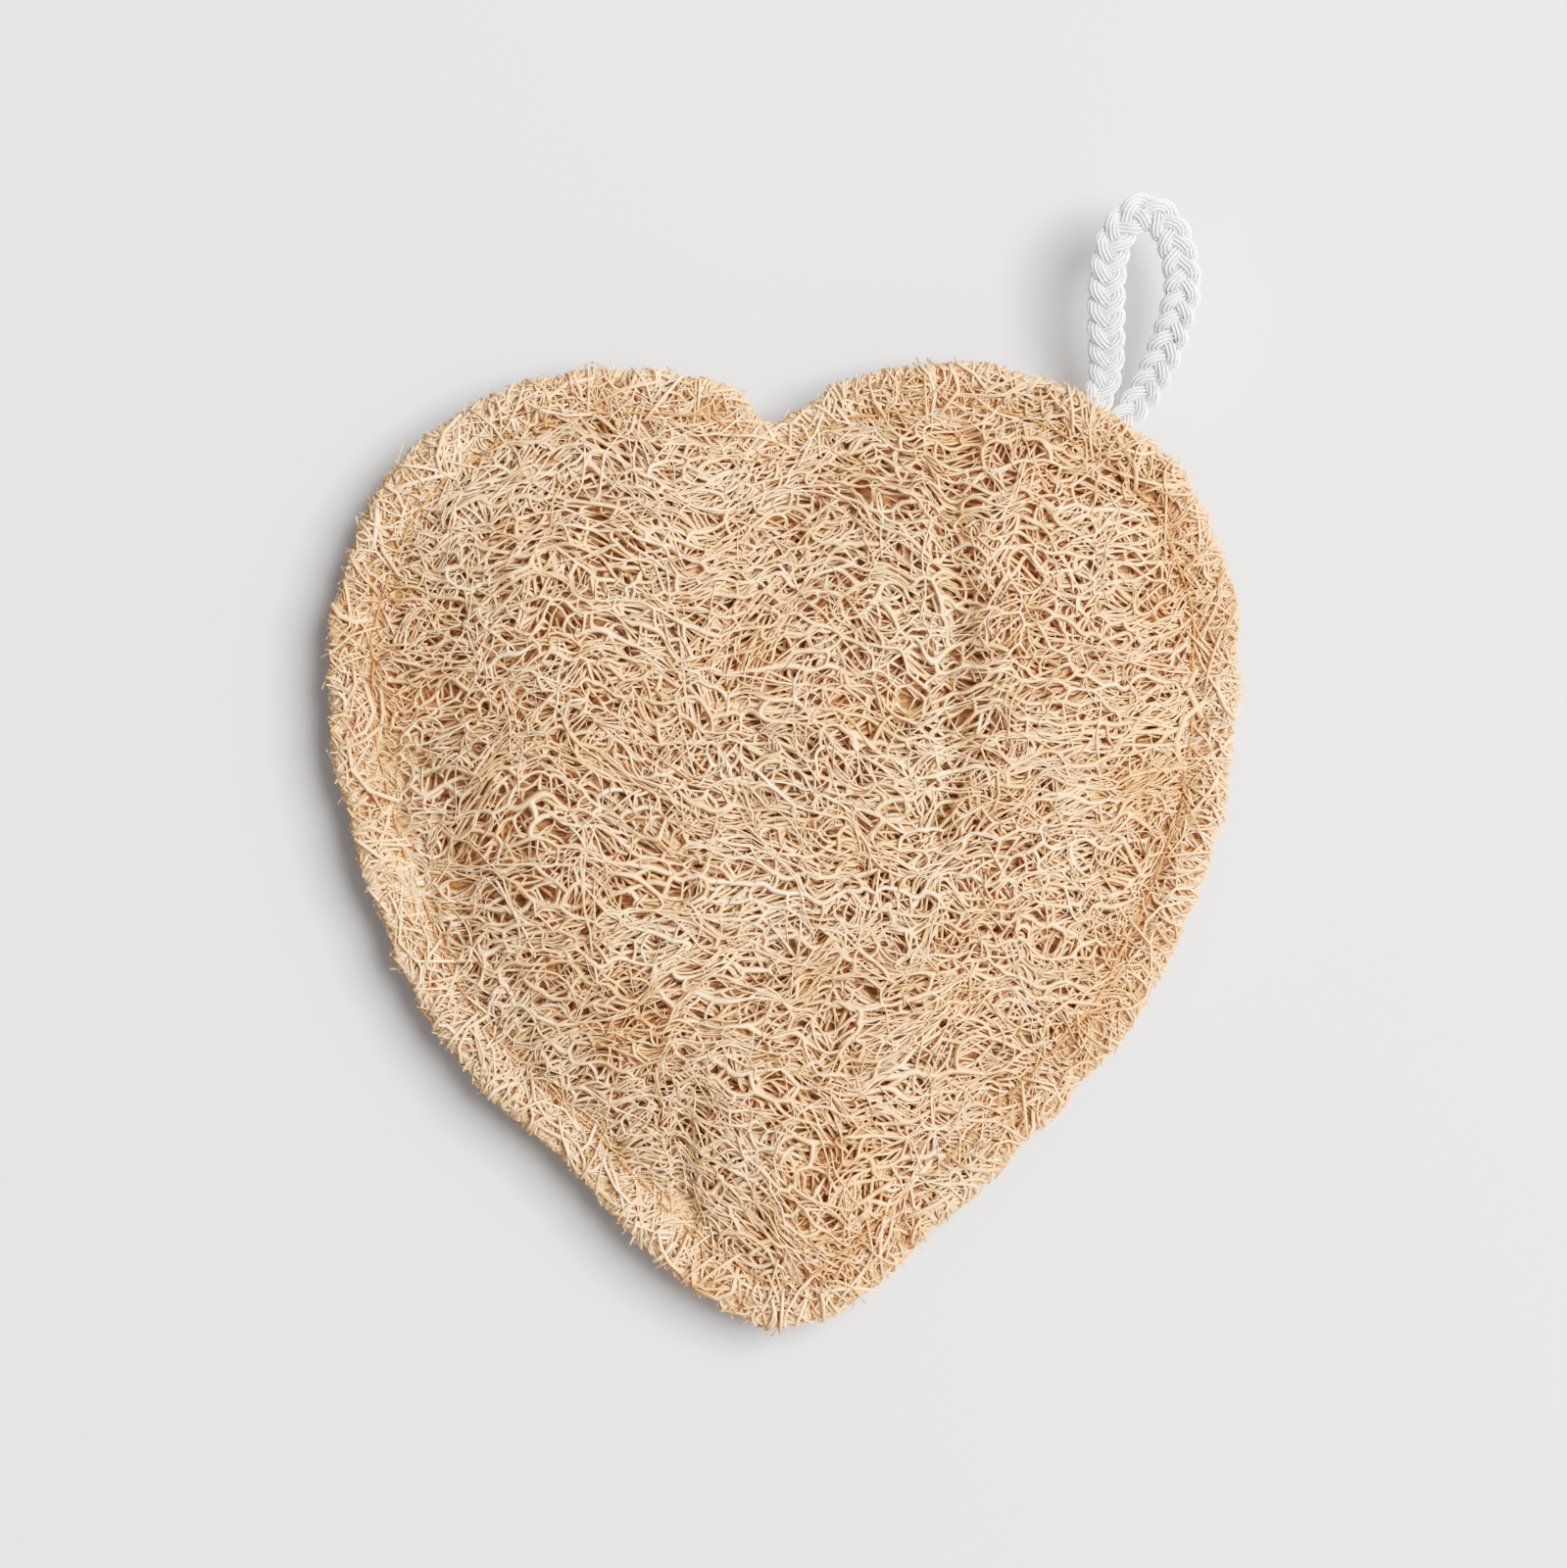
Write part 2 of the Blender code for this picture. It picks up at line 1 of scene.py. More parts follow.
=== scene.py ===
# %% [markdown]
# # Heart-shaped loofah scrub pad
# A loofah is the dried skeleton of a gourd: a springy net of pale plant vessels, thick ones on the
# outside and finer ones packed between them. This pad is two hearts cut from flattened loofah, sewn
# face to face near the edge, with a braided cotton loop caught in the seam. This script dresses the
# plain solids of the pad with real fibres. It starts by loading those solids, which stay in place.

# %% Load the pad's solids
import math
import random
from collections import defaultdict

import bpy
import numpy as np
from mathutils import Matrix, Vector, geometry
from mathutils.bvhtree import BVHTree


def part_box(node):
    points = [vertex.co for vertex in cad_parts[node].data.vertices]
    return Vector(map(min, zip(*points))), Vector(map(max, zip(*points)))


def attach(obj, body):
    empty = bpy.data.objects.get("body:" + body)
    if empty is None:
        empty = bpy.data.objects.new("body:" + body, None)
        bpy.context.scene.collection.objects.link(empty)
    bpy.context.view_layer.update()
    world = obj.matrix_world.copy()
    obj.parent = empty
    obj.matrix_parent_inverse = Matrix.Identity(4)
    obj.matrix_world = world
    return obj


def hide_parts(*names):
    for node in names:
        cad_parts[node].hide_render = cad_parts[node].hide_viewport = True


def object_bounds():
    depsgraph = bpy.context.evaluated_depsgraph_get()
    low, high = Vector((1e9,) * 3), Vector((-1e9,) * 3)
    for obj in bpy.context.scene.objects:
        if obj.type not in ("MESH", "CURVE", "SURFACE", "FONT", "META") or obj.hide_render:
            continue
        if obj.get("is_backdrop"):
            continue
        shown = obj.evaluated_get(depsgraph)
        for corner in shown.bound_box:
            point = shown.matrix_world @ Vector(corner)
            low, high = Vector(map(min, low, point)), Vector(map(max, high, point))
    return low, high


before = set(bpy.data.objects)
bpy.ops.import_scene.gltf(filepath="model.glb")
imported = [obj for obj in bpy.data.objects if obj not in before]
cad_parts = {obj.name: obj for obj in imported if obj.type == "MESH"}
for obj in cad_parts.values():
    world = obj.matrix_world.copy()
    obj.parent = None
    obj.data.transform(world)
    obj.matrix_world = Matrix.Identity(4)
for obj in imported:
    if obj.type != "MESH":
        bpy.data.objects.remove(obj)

cad_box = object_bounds()
front_low, front_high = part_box("front_loofah_sheet")
print("solids, mm:", [round(v * 1000, 1) for v in cad_box[1] - cad_box[0]])

# %% [markdown]
# ## Units
# Fibres are easiest to think about in millimetres, so all of the shaping below is done in
# millimetres, and a mesh is scaled to metres only when it is made.

# %% Millimetres
MM = 0.001
# The front sheet's flat side lies this far over the plane where the two sheets meet.
SHEET_CLEARANCE = 0.15

MIDDLE = front_low.z / MM - SHEET_CLEARANCE
TOP = front_high.z / MM
print("middle plane at", round(MIDDLE, 2), "mm, top at", round(TOP, 2), "mm")

# %% [markdown]
# ## Camera
# The pad was photographed from straight above. A long lens flattens perspective, as a product
# photographer would do, so the puffed middle hides none of the border. The distance follows from
# the width that the picture has to take in.

# %% Camera
VIEW_WIDTH = 206.9
VIEW_CENTRE = (0.3, 7.3)
LENS = 110.0
SENSOR = 36.0

camera_data = bpy.data.cameras.new("overhead_camera")
camera_data.lens = LENS
camera_data.sensor_width = SENSOR
camera = bpy.data.objects.new("overhead_camera", camera_data)
distance = VIEW_WIDTH * LENS / SENSOR
camera.location = Vector((*VIEW_CENTRE, MIDDLE + distance)) * MM
bpy.context.scene.collection.objects.link(camera)
bpy.context.scene.camera = camera
print("camera height, mm:", round(distance))

# %% [markdown]
# ## Small helpers for materials
# Colours are written the way a paint chart gives them, as sRGB hex values, while shaders work in
# linear light, so one function converts them. Another adds a node with its settings and links.

# %% Colour and node helpers
def linear(hex_colour):
    """An sRGB hex colour as linear RGBA."""
    channels = [int(hex_colour[i:i + 2], 16) / 255 for i in (1, 3, 5)]
    return [c / 12.92 if c <= 0.04045 else ((c + 0.055) / 1.055) ** 2.4 for c in channels] + [1.0]


def add_node(material, kind, settings=None, links=None):
    """Adds a node, sets its sockets or properties, and links the outputs given for its inputs."""
    node = material.node_tree.nodes.new(kind)
    for name, value in (settings or {}).items():
        if name in node.inputs:
            node.inputs[name].default_value = value
        else:
            setattr(node, name, value)
    for name, output in (links or {}).items():
        material.node_tree.links.new(output, node.inputs[name])
    return node


def bare_material(name):
    """A material with its Principled shader and nothing linked to it."""
    material = bpy.data.materials.new(name)
    material.use_nodes = True
    return material, material.node_tree.nodes["Principled BSDF"]


def ramp_stops(ramp, stops):
    """Gives a Color Ramp node its stops, as position and hex colour."""
    elements = ramp.color_ramp.elements
    while len(elements) < len(stops):
        elements.new(0.5)
    for element, (position, colour) in zip(elements, stops):
        element.position = position
        element.color = linear(colour)


# %% [markdown]
# ## Fibres as tubes
# Every fibre, hair, stitch and yarn here is a thin tube along a path. Curve objects could do this,
# but thousands of them would be slow, so the tubes of one piece are worked out together with
# arrays and become a single mesh. Thin fibres get three sides, which smooth shading rounds off.
# Each tube also gets a UV map, once round by millimetres along, for grain that follows the fibre.

# %% Tube meshes
def rings_of(paths, radii, sides, flat):
    """Points round every path point, for paths that have the same number of points."""
    along = np.gradient(paths, axis=1)
    along /= np.linalg.norm(along, axis=2, keepdims=True) + 1e-9
    across = np.cross(along, np.array([0.0, 0.0, 1.0]))
    steep = np.linalg.norm(across, axis=2, keepdims=True) < 0.05
    across = np.where(steep, np.array([1.0, 0.0, 0.0]), across)
    across /= np.linalg.norm(across, axis=2, keepdims=True)
    above = np.cross(across, along)
    turn = 2 * np.pi * (np.arange(sides) + 0.5) / sides
    reach = radii[:, :, None, None]
    wide = np.cos(turn)[:, None] * across[:, :, None, :]
    tall = np.sin(turn)[:, None] * above[:, :, None, :] * flat
    return paths[:, :, None, :] + reach * (wide + tall)


def tube_mesh(name, fibres, sides, flat=0.85):
    """One mesh of closed tubes from (path, radii) pairs, in millimetres."""
    groups = defaultdict(list)
    for path, radii in fibres:
        groups[len(path)].append((path, radii))
    places, quads, caps, quad_uv, cap_uv, shades = [], [], [], [], [], []
    chance = np.random.default_rng(len(fibres))
    base = 0
    for count, group in groups.items():
        paths = np.array([path for path, _ in group], float)
        radii = np.array([radius for _, radius in group], float)
        places.append(rings_of(paths, radii, sides, flat).reshape(-1, 3))
        steps = np.linalg.norm(np.diff(paths, axis=1), axis=2)
        run = np.concatenate([np.zeros((len(group), 1)), np.cumsum(steps, axis=1)], axis=1)
        tube = base + np.arange(len(group))[:, None, None] * count * sides
        ring = np.arange(count - 1)[None, :, None] * sides
        side = np.arange(sides)[None, None, :]
        start, end = tube + ring + side, tube + ring + (side + 1) % sides
        quads.append(np.stack([start, start + sides, end + sides, end], axis=-1).reshape(-1, 4))
        u0 = np.broadcast_to(side / sides, start.shape)
        v0 = np.broadcast_to(run[:, :-1, None], start.shape)
        v1 = np.broadcast_to(run[:, 1:, None], start.shape)
        u1 = u0 + 1 / sides
        corners = [np.stack(pair, axis=-1) for pair in ((u0, v0), (u0, v1), (u1, v1), (u1, v0))]
        quad_uv.append(np.stack(corners, axis=-2).reshape(-1, 4, 2))
        first = tube[:, :, 0] + np.arange(sides)
        last = first[:, ::-1] + (count - 1) * sides
        caps += [first, last]
        cap_uv += [np.zeros((len(group), sides, 2)), np.zeros((len(group), sides, 2))]
        shades.append(np.repeat(chance.random(len(group)), count * sides))
        base += len(group) * count * sides
    return filled_mesh(name, np.concatenate(places), [np.concatenate(quads), *caps],
                       [np.concatenate(quad_uv), *cap_uv], np.concatenate(shades))


def filled_mesh(name, places, faces, face_uv=None, shade=None):
    """A smooth-shaded mesh object from points in millimetres and arrays of faces."""
    mesh = bpy.data.meshes.new(name)
    mesh.vertices.add(len(places))
    mesh.vertices.foreach_set("co", (places * MM).astype(np.float32).ravel())
    corners = np.concatenate([block.ravel() for block in faces]).astype(np.int32)
    sizes = np.concatenate([np.full(len(block), block.shape[1]) for block in faces])
    mesh.loops.add(len(corners))
    mesh.loops.foreach_set("vertex_index", corners)
    mesh.polygons.add(len(sizes))
    starts = np.concatenate([[0], np.cumsum(sizes)[:-1]]).astype(np.int32)
    mesh.polygons.foreach_set("loop_start", starts)
    mesh.polygons.foreach_set("use_smooth", np.ones(len(sizes), bool))
    if face_uv is not None:
        layer = mesh.uv_layers.new(name="fibre")
        flat_uv = np.concatenate([block.reshape(-1, 2) for block in face_uv])
        layer.uv.foreach_set("vector", flat_uv.astype(np.float32).ravel())
    if shade is not None:
        mesh.attributes.new("shade", "FLOAT", "POINT").data.foreach_set("value", shade.astype(np.float32))
    mesh.update(calc_edges=True)
    mesh.validate()
    made = bpy.data.objects.new(name, mesh)
    bpy.context.scene.collection.objects.link(made)
    return made


def triangle_count(made):
    """How many triangles a piece's faces come to."""
    return sum(len(face.vertices) - 2 for face in made.data.polygons)


def settle(made, material, slot, *nodes):
    """Gives a piece its material, lets it ride with the pad and stand for the solids it covers."""
    made.data.materials.append(material)
    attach(made, "root")
    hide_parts(*nodes)
    print(made.name, "triangles:", triangle_count(made))
    return made


# %% [markdown]
# ## Smooth curves through a few points
# A Catmull-Rom curve passes through every point it is given, so a route stays where it was chosen
# and only its corners are rounded.

# %% Smooth routes
def smooth_curve(points, steps):
    """Points on a Catmull-Rom curve through the given points, with so many steps to a span."""
    points = np.asarray(points, float)
    ends = np.vstack([2 * points[0] - points[1], points, 2 * points[-1] - points[-2]])
    before, start, end, after = (ends[k:len(ends) - 3 + k, None, :] for k in range(4))
    t = np.linspace(0.0, 1.0, steps, endpoint=False)[None, :, None]
    curve = 0.5 * (2 * start + (end - before) * t
                   + (2 * before - 5 * start + 4 * end - after) * t**2
                   + (3 * start - before - 3 * end + after) * t**3)
    return np.vstack([curve.reshape(-1, points.shape[1]), points[-1:]])


def evenly(path, step):
    """Points along an open path at an even spacing near step, and how far along each one is."""
    run = np.concatenate([[0.0], np.cumsum(np.linalg.norm(np.diff(path, axis=0), axis=1))])
    places = np.linspace(0.0, run[-1], max(2, round(run[-1] / step) + 1))
    return np.stack([np.interp(places, run, column) for column in path.T], axis=1), places


# %% [markdown]
# ## Hanging loop
# The loop is a flat three-strand plait of soft white cotton yarn, about 5 mm wide. It rises a little
# out of the seam and stands clear of the table by its own stiffness, as its shadow shows. Its ends
# are pressed flat where the sheets hold them. Each strand swings from side to side and passes over
# and under twice as often, a third of a turn behind the last one, which is all that a plait is. Each
# strand is a small twisted bundle of yarns, so the light catches the slanted yarns as it does on
# the real cord.

# %% The loop's route
# Plan position and height over the middle plane, from the left tail to the right one.
LOOP_ROUTE = (
    (37.1, 52.6, 0.0), (39.6, 55.9, 0.0), (42.1, 59.3, 0.0), (42.9, 63.2, 0.6),
    (42.8, 67.4, 2.3), (42.9, 75.2, 4.1), (44.3, 80.4, 4.6), (47.6, 82.9, 4.7),
    (51.0, 80.6, 4.6), (52.7, 74.3, 4.2), (52.2, 70.0, 3.4), (50.4, 64.4, 1.5),
    (47.9, 59.4, 0.0), (45.5, 56.0, 0.0), (43.1, 52.8, 0.0), (40.7, 49.5, 0.0),
)
# The pad's box was centred on the origin after the route was chosen.
ROUTE_SHIFT = (-0.1, -0.6)
SPAN_STEPS = 12
LOOP_SPACING = 0.6
CORD_WIDTH = 4.8
TAIL_WIDTH = 4.1
TAIL_LENGTH = 8.6
TAIL_BLEND = 7.0
# The tails are pressed down to this share of the plait's own height.
TAIL_FLATNESS = 0.65

route = np.array(LOOP_ROUTE) + (*ROUTE_SHIFT, MIDDLE)
loop_line, loop_places = evenly(smooth_curve(route, SPAN_STEPS), LOOP_SPACING)
loop_length = loop_places[-1]
print("loop cord length, mm:", round(loop_length, 1))

# %% The plait
PLAIT_PITCH = 8.4
STRAND_SWING = 1.6
STRAND_LIFT = 0.4
STRAND_RADIUS = 0.86
STRAND_FLATNESS = 0.9
CORE_RADIUS = 0.68
YARN_RADIUS = 0.21
YARNS_ROUND = 10
YARN_TWIST_PITCH = -16.0
# Loose hairs: how many, how stout, where they start as a share of the cord's width, how much
# further out sideways than upwards, and how many points of the line at each end have none.
WISPS = 520
WISP_RADIUS = 0.032
WISP_START = 0.38
WISP_WIDE = 1.15
WISP_TALL = 0.75
WISP_FREE_POINTS = 16


def travelling_frame(line):
    """Directions along, across and above a path."""
    along = np.gradient(line, axis=0)
    along /= np.linalg.norm(along, axis=1)[:, None]
    across = np.cross(along, [0.0, 0.0, 1.0])
    across /= np.linalg.norm(across, axis=1)[:, None]
    return along, across, np.cross(across, along)


def plait_yarns(line, places):
    """The yarns of a three-strand plait along a line, pressed flat at its two tails."""
    from_end = np.minimum(places, places[-1] - places)
    open_share = np.clip((from_end - TAIL_LENGTH) / TAIL_BLEND, 0.0, 1.0)[:, None]
    wide = (TAIL_WIDTH + (CORD_WIDTH - TAIL_WIDTH) * open_share) / CORD_WIDTH
    tall = TAIL_FLATNESS + (1.0 - TAIL_FLATNESS) * open_share
    _, across, above = travelling_frame(line)
    yarns = []
    for strand in range(3):
        phase = (2 * np.pi * (places / PLAIT_PITCH + strand / 3))[:, None]
        middle = line + across * wide * STRAND_SWING * np.sin(phase)
        middle = middle + above * tall * STRAND_LIFT * np.sin(2 * phase)
        _, strand_across, strand_above = travelling_frame(middle)
        yarns.append((middle, CORE_RADIUS * tall[:, 0]))
        for yarn in range(YARNS_ROUND):
            turn = (2 * np.pi * (places / YARN_TWIST_PITCH + yarn / YARNS_ROUND))[:, None]
            path = middle + STRAND_RADIUS * (strand_across * wide * np.cos(turn)
                                             + strand_above * tall * STRAND_FLATNESS * np.sin(turn))
            yarns.append((path, np.full(len(path), YARN_RADIUS)))
    return yarns


def cotton_wisps(line, count, seed):
    """Short fine hairs that stand off the cord and soften its outline."""
    chance = np.random.default_rng(seed)
    along, across, above = travelling_frame(line)
    wisps = []
    for _ in range(count):
        at = chance.integers(WISP_FREE_POINTS, len(line) - WISP_FREE_POINTS)
        turn = chance.uniform(0.0, 2 * np.pi)
        out = across[at] * math.cos(turn) * WISP_WIDE + above[at] * math.sin(turn) * WISP_TALL
        run = np.linspace(0.0, chance.uniform(0.8, 2.2), 4)[:, None]
        lean = along[at] * chance.normal(0.0, 0.8) + out * chance.uniform(0.1, 0.4)
        curl = np.cross(along[at], out) * chance.normal(0.0, 0.25)
        path = line[at] + out * CORD_WIDTH * WISP_START + lean * run + curl * run**2
        wisps.append((path, np.full(len(path), WISP_RADIUS)))
    return wisps


loop_yarns = plait_yarns(loop_line, loop_places) + cotton_wisps(loop_line, WISPS, 7)
loop_piece = tube_mesh("braided_cotton_loop", loop_yarns, 4, flat=1.0)

# %% [markdown]
# ### Bleached cotton yarn
# The cord is bleached cotton: nearly white, soft and matt, with a faint sheen from the fine fibres
# that lie along each yarn. A stretched noise on the UV map draws those fibres, about 0.1 mm apart.

# %% Bleached cotton
def bleached_cotton():
    """White cotton: fine fibres in tone and relief along the yarn, and a faint sheen."""
    material, shader = bare_material("bleached_cotton_yarn")
    uv = add_node(material, "ShaderNodeUVMap", {"uv_map": "fibre"})
    stretched = add_node(material, "ShaderNodeMapping", {"Scale": (9.0, 1.2, 1.0)},
                         {"Vector": uv.outputs["UV"]})
    fine = add_node(material, "ShaderNodeTexNoise", {"Scale": 1.6, "Detail": 3.0},
                    {"Vector": stretched.outputs["Vector"]})
    tone = add_node(material, "ShaderNodeValToRGB", None, {"Fac": fine.outputs["Fac"]})
    ramp_stops(tone, ((0.3, "#F3F3F2"), (0.7, "#FBFBFA")))
    bump = add_node(material, "ShaderNodeBump", {"Strength": 0.4, "Distance": 0.00008},
                    {"Height": fine.outputs["Fac"]})
    links = material.node_tree.links
    links.new(tone.outputs["Color"], shader.inputs["Base Color"])
    links.new(bump.outputs["Normal"], shader.inputs["Normal"])
    shader.inputs["Roughness"].default_value = 0.85
    shader.inputs["IOR"].default_value = 1.53
    shader.inputs["Sheen Weight"].default_value = 0.25
    shader.inputs["Sheen Roughness"].default_value = 0.4
    shader.inputs["Subsurface Weight"].default_value = 0.6
    shader.inputs["Subsurface Radius"].default_value = (1.0, 1.0, 0.95)
    shader.inputs["Subsurface Scale"].default_value = 0.0014
    return material


settle(loop_piece, bleached_cotton(), "hanging_loop", "hanging_loop")
loop_line[0] * MM

# %% [markdown]
# ## Measuring the two sheets
# The fibres have to lie on the puffed sheets, so the solids are measured first. Rays cast inwards
# just above the middle plane find the cut edge, away from the loose fibre ends. Where the loop is
# tucked in, they would find its pocket, so the edge is bridged there. Rays cast down on a grid give
# the height of each sheet, and blurring removes the solid's own coarse net.

# %% The cut edge
EDGE_RAYS = 720
POCKET_ANGLES = (46.0, 60.0)
# Rays start this far out, and this far over the middle plane.
RAY_START = 120.0
RAY_HEIGHT = 0.3


def sheet_tree(node):
    """The faces of one of the pad's solids, ready for rays."""
    return BVHTree.FromObject(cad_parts[node], bpy.context.evaluated_depsgraph_get())


front_tree = sheet_tree("front_loofah_sheet")
back_tree = sheet_tree("back_loofah_sheet")
edge_angles = 2 * np.pi * np.arange(EDGE_RAYS) / EDGE_RAYS
edge_reach = []
for angle in edge_angles:
    away = Vector((math.cos(angle), math.sin(angle), 0.0))
    start = away * RAY_START + Vector((0.0, 0.0, MIDDLE + RAY_HEIGHT))
    hit, *_ = front_tree.ray_cast(start * MM, -away)
    edge_reach.append(math.hypot(hit.x, hit.y) / MM)
edge_reach = np.array(edge_reach)
clear = (np.degrees(edge_angles) < POCKET_ANGLES[0]) | (np.degrees(edge_angles) > POCKET_ANGLES[1])
edge_reach = np.interp(edge_angles, edge_angles[clear], edge_reach[clear])
edge_reach = np.mean([np.roll(edge_reach, shift) for shift in range(-2, 3)], axis=0)
edge_line = np.stack([np.cos(edge_angles), np.sin(edge_angles)], axis=1) * edge_reach[:, None]
print("cut edge, mm from the middle:", edge_reach.min().round(1), "to", edge_reach.max().round(1))

# %% Distances from a closed line
def outward(loop):
    """Unit vectors out of an anticlockwise loop."""
    along = np.roll(loop, -2, axis=0) - np.roll(loop, 2, axis=0)
    along /= np.linalg.norm(along, axis=1)[:, None]
    return np.stack([along[:, 1], -along[:, 0]], axis=1)


def distance_to(points, loop):
    """Each point's distance to a closed loop."""
    nearest = np.full(len(points), np.inf)
    for start, end in zip(loop, np.roll(loop, -1, axis=0)):
        span = end - start
        along = np.clip((points - start) @ span / max(span @ span, 1e-9), 0.0, 1.0)
        reach = ((points - start - along[:, None] * span) ** 2).sum(axis=1)
        nearest = np.minimum(nearest, reach)
    return np.sqrt(nearest)


def is_inside(points, loop):
    """Whether each point lies inside a closed loop, by counting crossings."""
    inside = np.zeros(len(points), bool)
    x, y = points[:, 0], points[:, 1]
    for (x0, y0), (x1, y1) in zip(loop, np.roll(loop, -1, axis=0)):
        crossing = (y0 > y) != (y1 > y)
        inside ^= crossing & (x < x0 + (y - y0) * (x1 - x0) / (y1 - y0 + 1e-12))
    return inside


# %% The seam's line
SEAM_INSET = 5.6
SEAM_INSET_AT_NOTCH = 2.6
NOTCH_REACH = 14.0
# The notch is looked for this far round to either side of straight up, in radians.
NOTCH_SEARCH = 0.35
# Where an inset line folds over itself, its points come nearer the edge than this allows.
SEAM_SLACK = 0.4

near_top = np.abs(edge_angles - np.pi / 2) < NOTCH_SEARCH
notch = edge_line[near_top][np.argmin(edge_reach[near_top])]
near_notch = np.clip(np.linalg.norm(edge_line - notch, axis=1) / NOTCH_REACH, 0.0, 1.0)
inset = SEAM_INSET_AT_NOTCH + (SEAM_INSET - SEAM_INSET_AT_NOTCH) * near_notch
seam_line = edge_line - outward(edge_line) * inset[:, None]
seam_line = seam_line[distance_to(seam_line, edge_line[::2]) > inset - SEAM_SLACK]
print("notch, mm:", notch.round(1), "seam points:", len(seam_line))

# %% Height and distance grids
GRID_STEP = 1.0
GRID_LOW = np.array([-78.0, -82.0])
GRID_SHAPE = (157, 165)
BLUR_PASSES = 5
# Rays that measure a sheet start this far off. Lower heights than the least are the cut's own.
DROP_START = 60.0
LEAST_HEIGHT = 1.0
# A grid point with less of the sheet round it than this share lies at the rim.
RIM_SHARE = 0.75

columns, rows = np.meshgrid(np.arange(GRID_SHAPE[0]), np.arange(GRID_SHAPE[1]), indexing="ij")
grid_points = np.stack([columns, rows], axis=-1).reshape(-1, 2) * GRID_STEP + GRID_LOW


def signed_distance(loop):
    """Distance outside a loop on the grid, negative inside it."""
    away = distance_to(grid_points, loop[::2])
    return np.where(is_inside(grid_points, loop), -away, away).reshape(GRID_SHAPE)


def blurred(grid, passes):
    """Repeated small averages, which come close to a Gaussian blur."""
    for _ in range(passes):
        for axis in (0, 1):
            grid = (np.roll(grid, 1, axis) + 2 * grid + np.roll(grid, -1, axis)) / 4
    return grid


def sheet_heights(tree, side):
    """Height over the middle plane on the grid, blurred, with the rim's height carried outwards."""
    heights = np.full(len(grid_points), np.nan)
    for index, (x, y) in enumerate(grid_points):
        start = Vector((x, y, DROP_START * side))
        hit, *_ = tree.ray_cast(start * MM, Vector((0.0, 0.0, -side)))
        if hit is not None:
            heights[index] = abs(hit.z / MM - MIDDLE)
    grid = heights.reshape(GRID_SHAPE)
    known = np.isfinite(grid) & (grid > LEAST_HEIGHT)
    weight = blurred(known.astype(float), BLUR_PASSES)
    total = blurred(np.where(known, grid, 0.0), BLUR_PASSES)
    smooth = np.where(weight > 1e-3, total / np.maximum(weight, 1e-3), np.nan)
    rim = np.nanmedian(smooth[known & (weight < RIM_SHARE)])
    return np.where(np.isfinite(smooth), smooth, rim)


edge_grid = signed_distance(edge_line)
seam_grid = signed_distance(seam_line)
front_grid = sheet_heights(front_tree, 1)
back_grid = sheet_heights(back_tree, -1)
print("front rises", round(front_grid.max(), 1), "mm, back", round(back_grid.max(), 1), "mm")

# Each sheet as its heights, the way its face points, its slot and its solid.
FRONT = (front_grid, 1, "front_loofah", "front_loofah_sheet")
BACK = (back_grid, -1, "back_loofah", "back_loofah_sheet")


def sample(grid, points):
    """A grid's value at any points, by blending its four nearest corners."""
    places = (np.asarray(points)[..., :2] - GRID_LOW) / GRID_STEP
    places = np.clip(places, 0, np.array(GRID_SHAPE) - 1.001)
    low = places.astype(int)
    share = places - low
    i, j = low[..., 0], low[..., 1]
    u, v = share[..., 0], share[..., 1]
    return ((1 - u) * (1 - v) * grid[i, j] + u * (1 - v) * grid[i + 1, j]
            + (1 - u) * v * grid[i, j + 1] + u * v * grid[i + 1, j + 1])


# %% [markdown]
# ## The way the net grows
# In the gourd the fibres run mostly one way, here from side to side, but they wander, and in places
# they draw together into dimples and folds. Every layer of fibres is laid out on a plain plan
# first. The plan is then bent by a few long waves and pulled in towards the dimples, so all layers
# share one flow. Only the border's fibres stay straight.

# %% Flow of the fibres
# Each wave: how far it pushes in mm, its length in mm, and its seed.
DRIFT = (2.4, 44.0, 1)
WANDER = (3.2, 42.0, 2)
RIPPLE = (0.5, 15.0, 3)
CROWD_SIDEWAYS = (0.55, 8.0, 7)
CROWD_LENGTHWISE = (0.55, 7.0, 8)
# Strands also gather into rows, a few millimetres apart, along lines that wander too.
GATHER = 0.25
GATHER_EVERY = 6.5
GATHER_WANDER = (4.0, 30.0, 4)
# Plan position and size of each dimple.
DIMPLES = (
    (-38.0, 20.0, 6.0), (-44.0, 31.0, 6.0), (-32.0, 13.0, 5.0), (-45.0, -4.0, 6.0), (-14.5, -34.0, 6.0),
    (-14.0, -46.0, 5.0), (4.4, -30.5, 6.0), (5.2, -18.0, 5.0), (24.8, -18.0, 5.0), (45.7, 6.3, 4.0),
)
DIMPLE_PULL = 0.22
DIMPLE_DEPTH = 0.7
# How wide the pull and the dip are, against the square of the dimple's size.
PULL_SPREAD = 2.0
DIP_SPREAD = 0.7
# Creases, each as a row of plan positions, where the net folds a little into itself.
CREASES = (
    ((24.5, 52.0), (22.0, 42.0), (23.5, 32.0), (22.0, 21.0), (23.0, 11.0), (21.0, 2.0)),
    ((-12.5, -35.0), (-14.0, -42.0), (-13.0, -50.0)),
)
CREASE_DEPTH = 1.9
CREASE_WIDTH = 1.7
CREASE_OPENNESS = 0.7
CREASE_OPEN_WIDTH = 1.6
CREASE_WAVER = (0.9, 7.0, 23)
# A long shallow hollow down the left flank: plan position, reach across and along, in mm.
HOLLOW = (-45.0, 12.0, 8.0, 26.0)
HOLLOW_DEPTH = 1.6
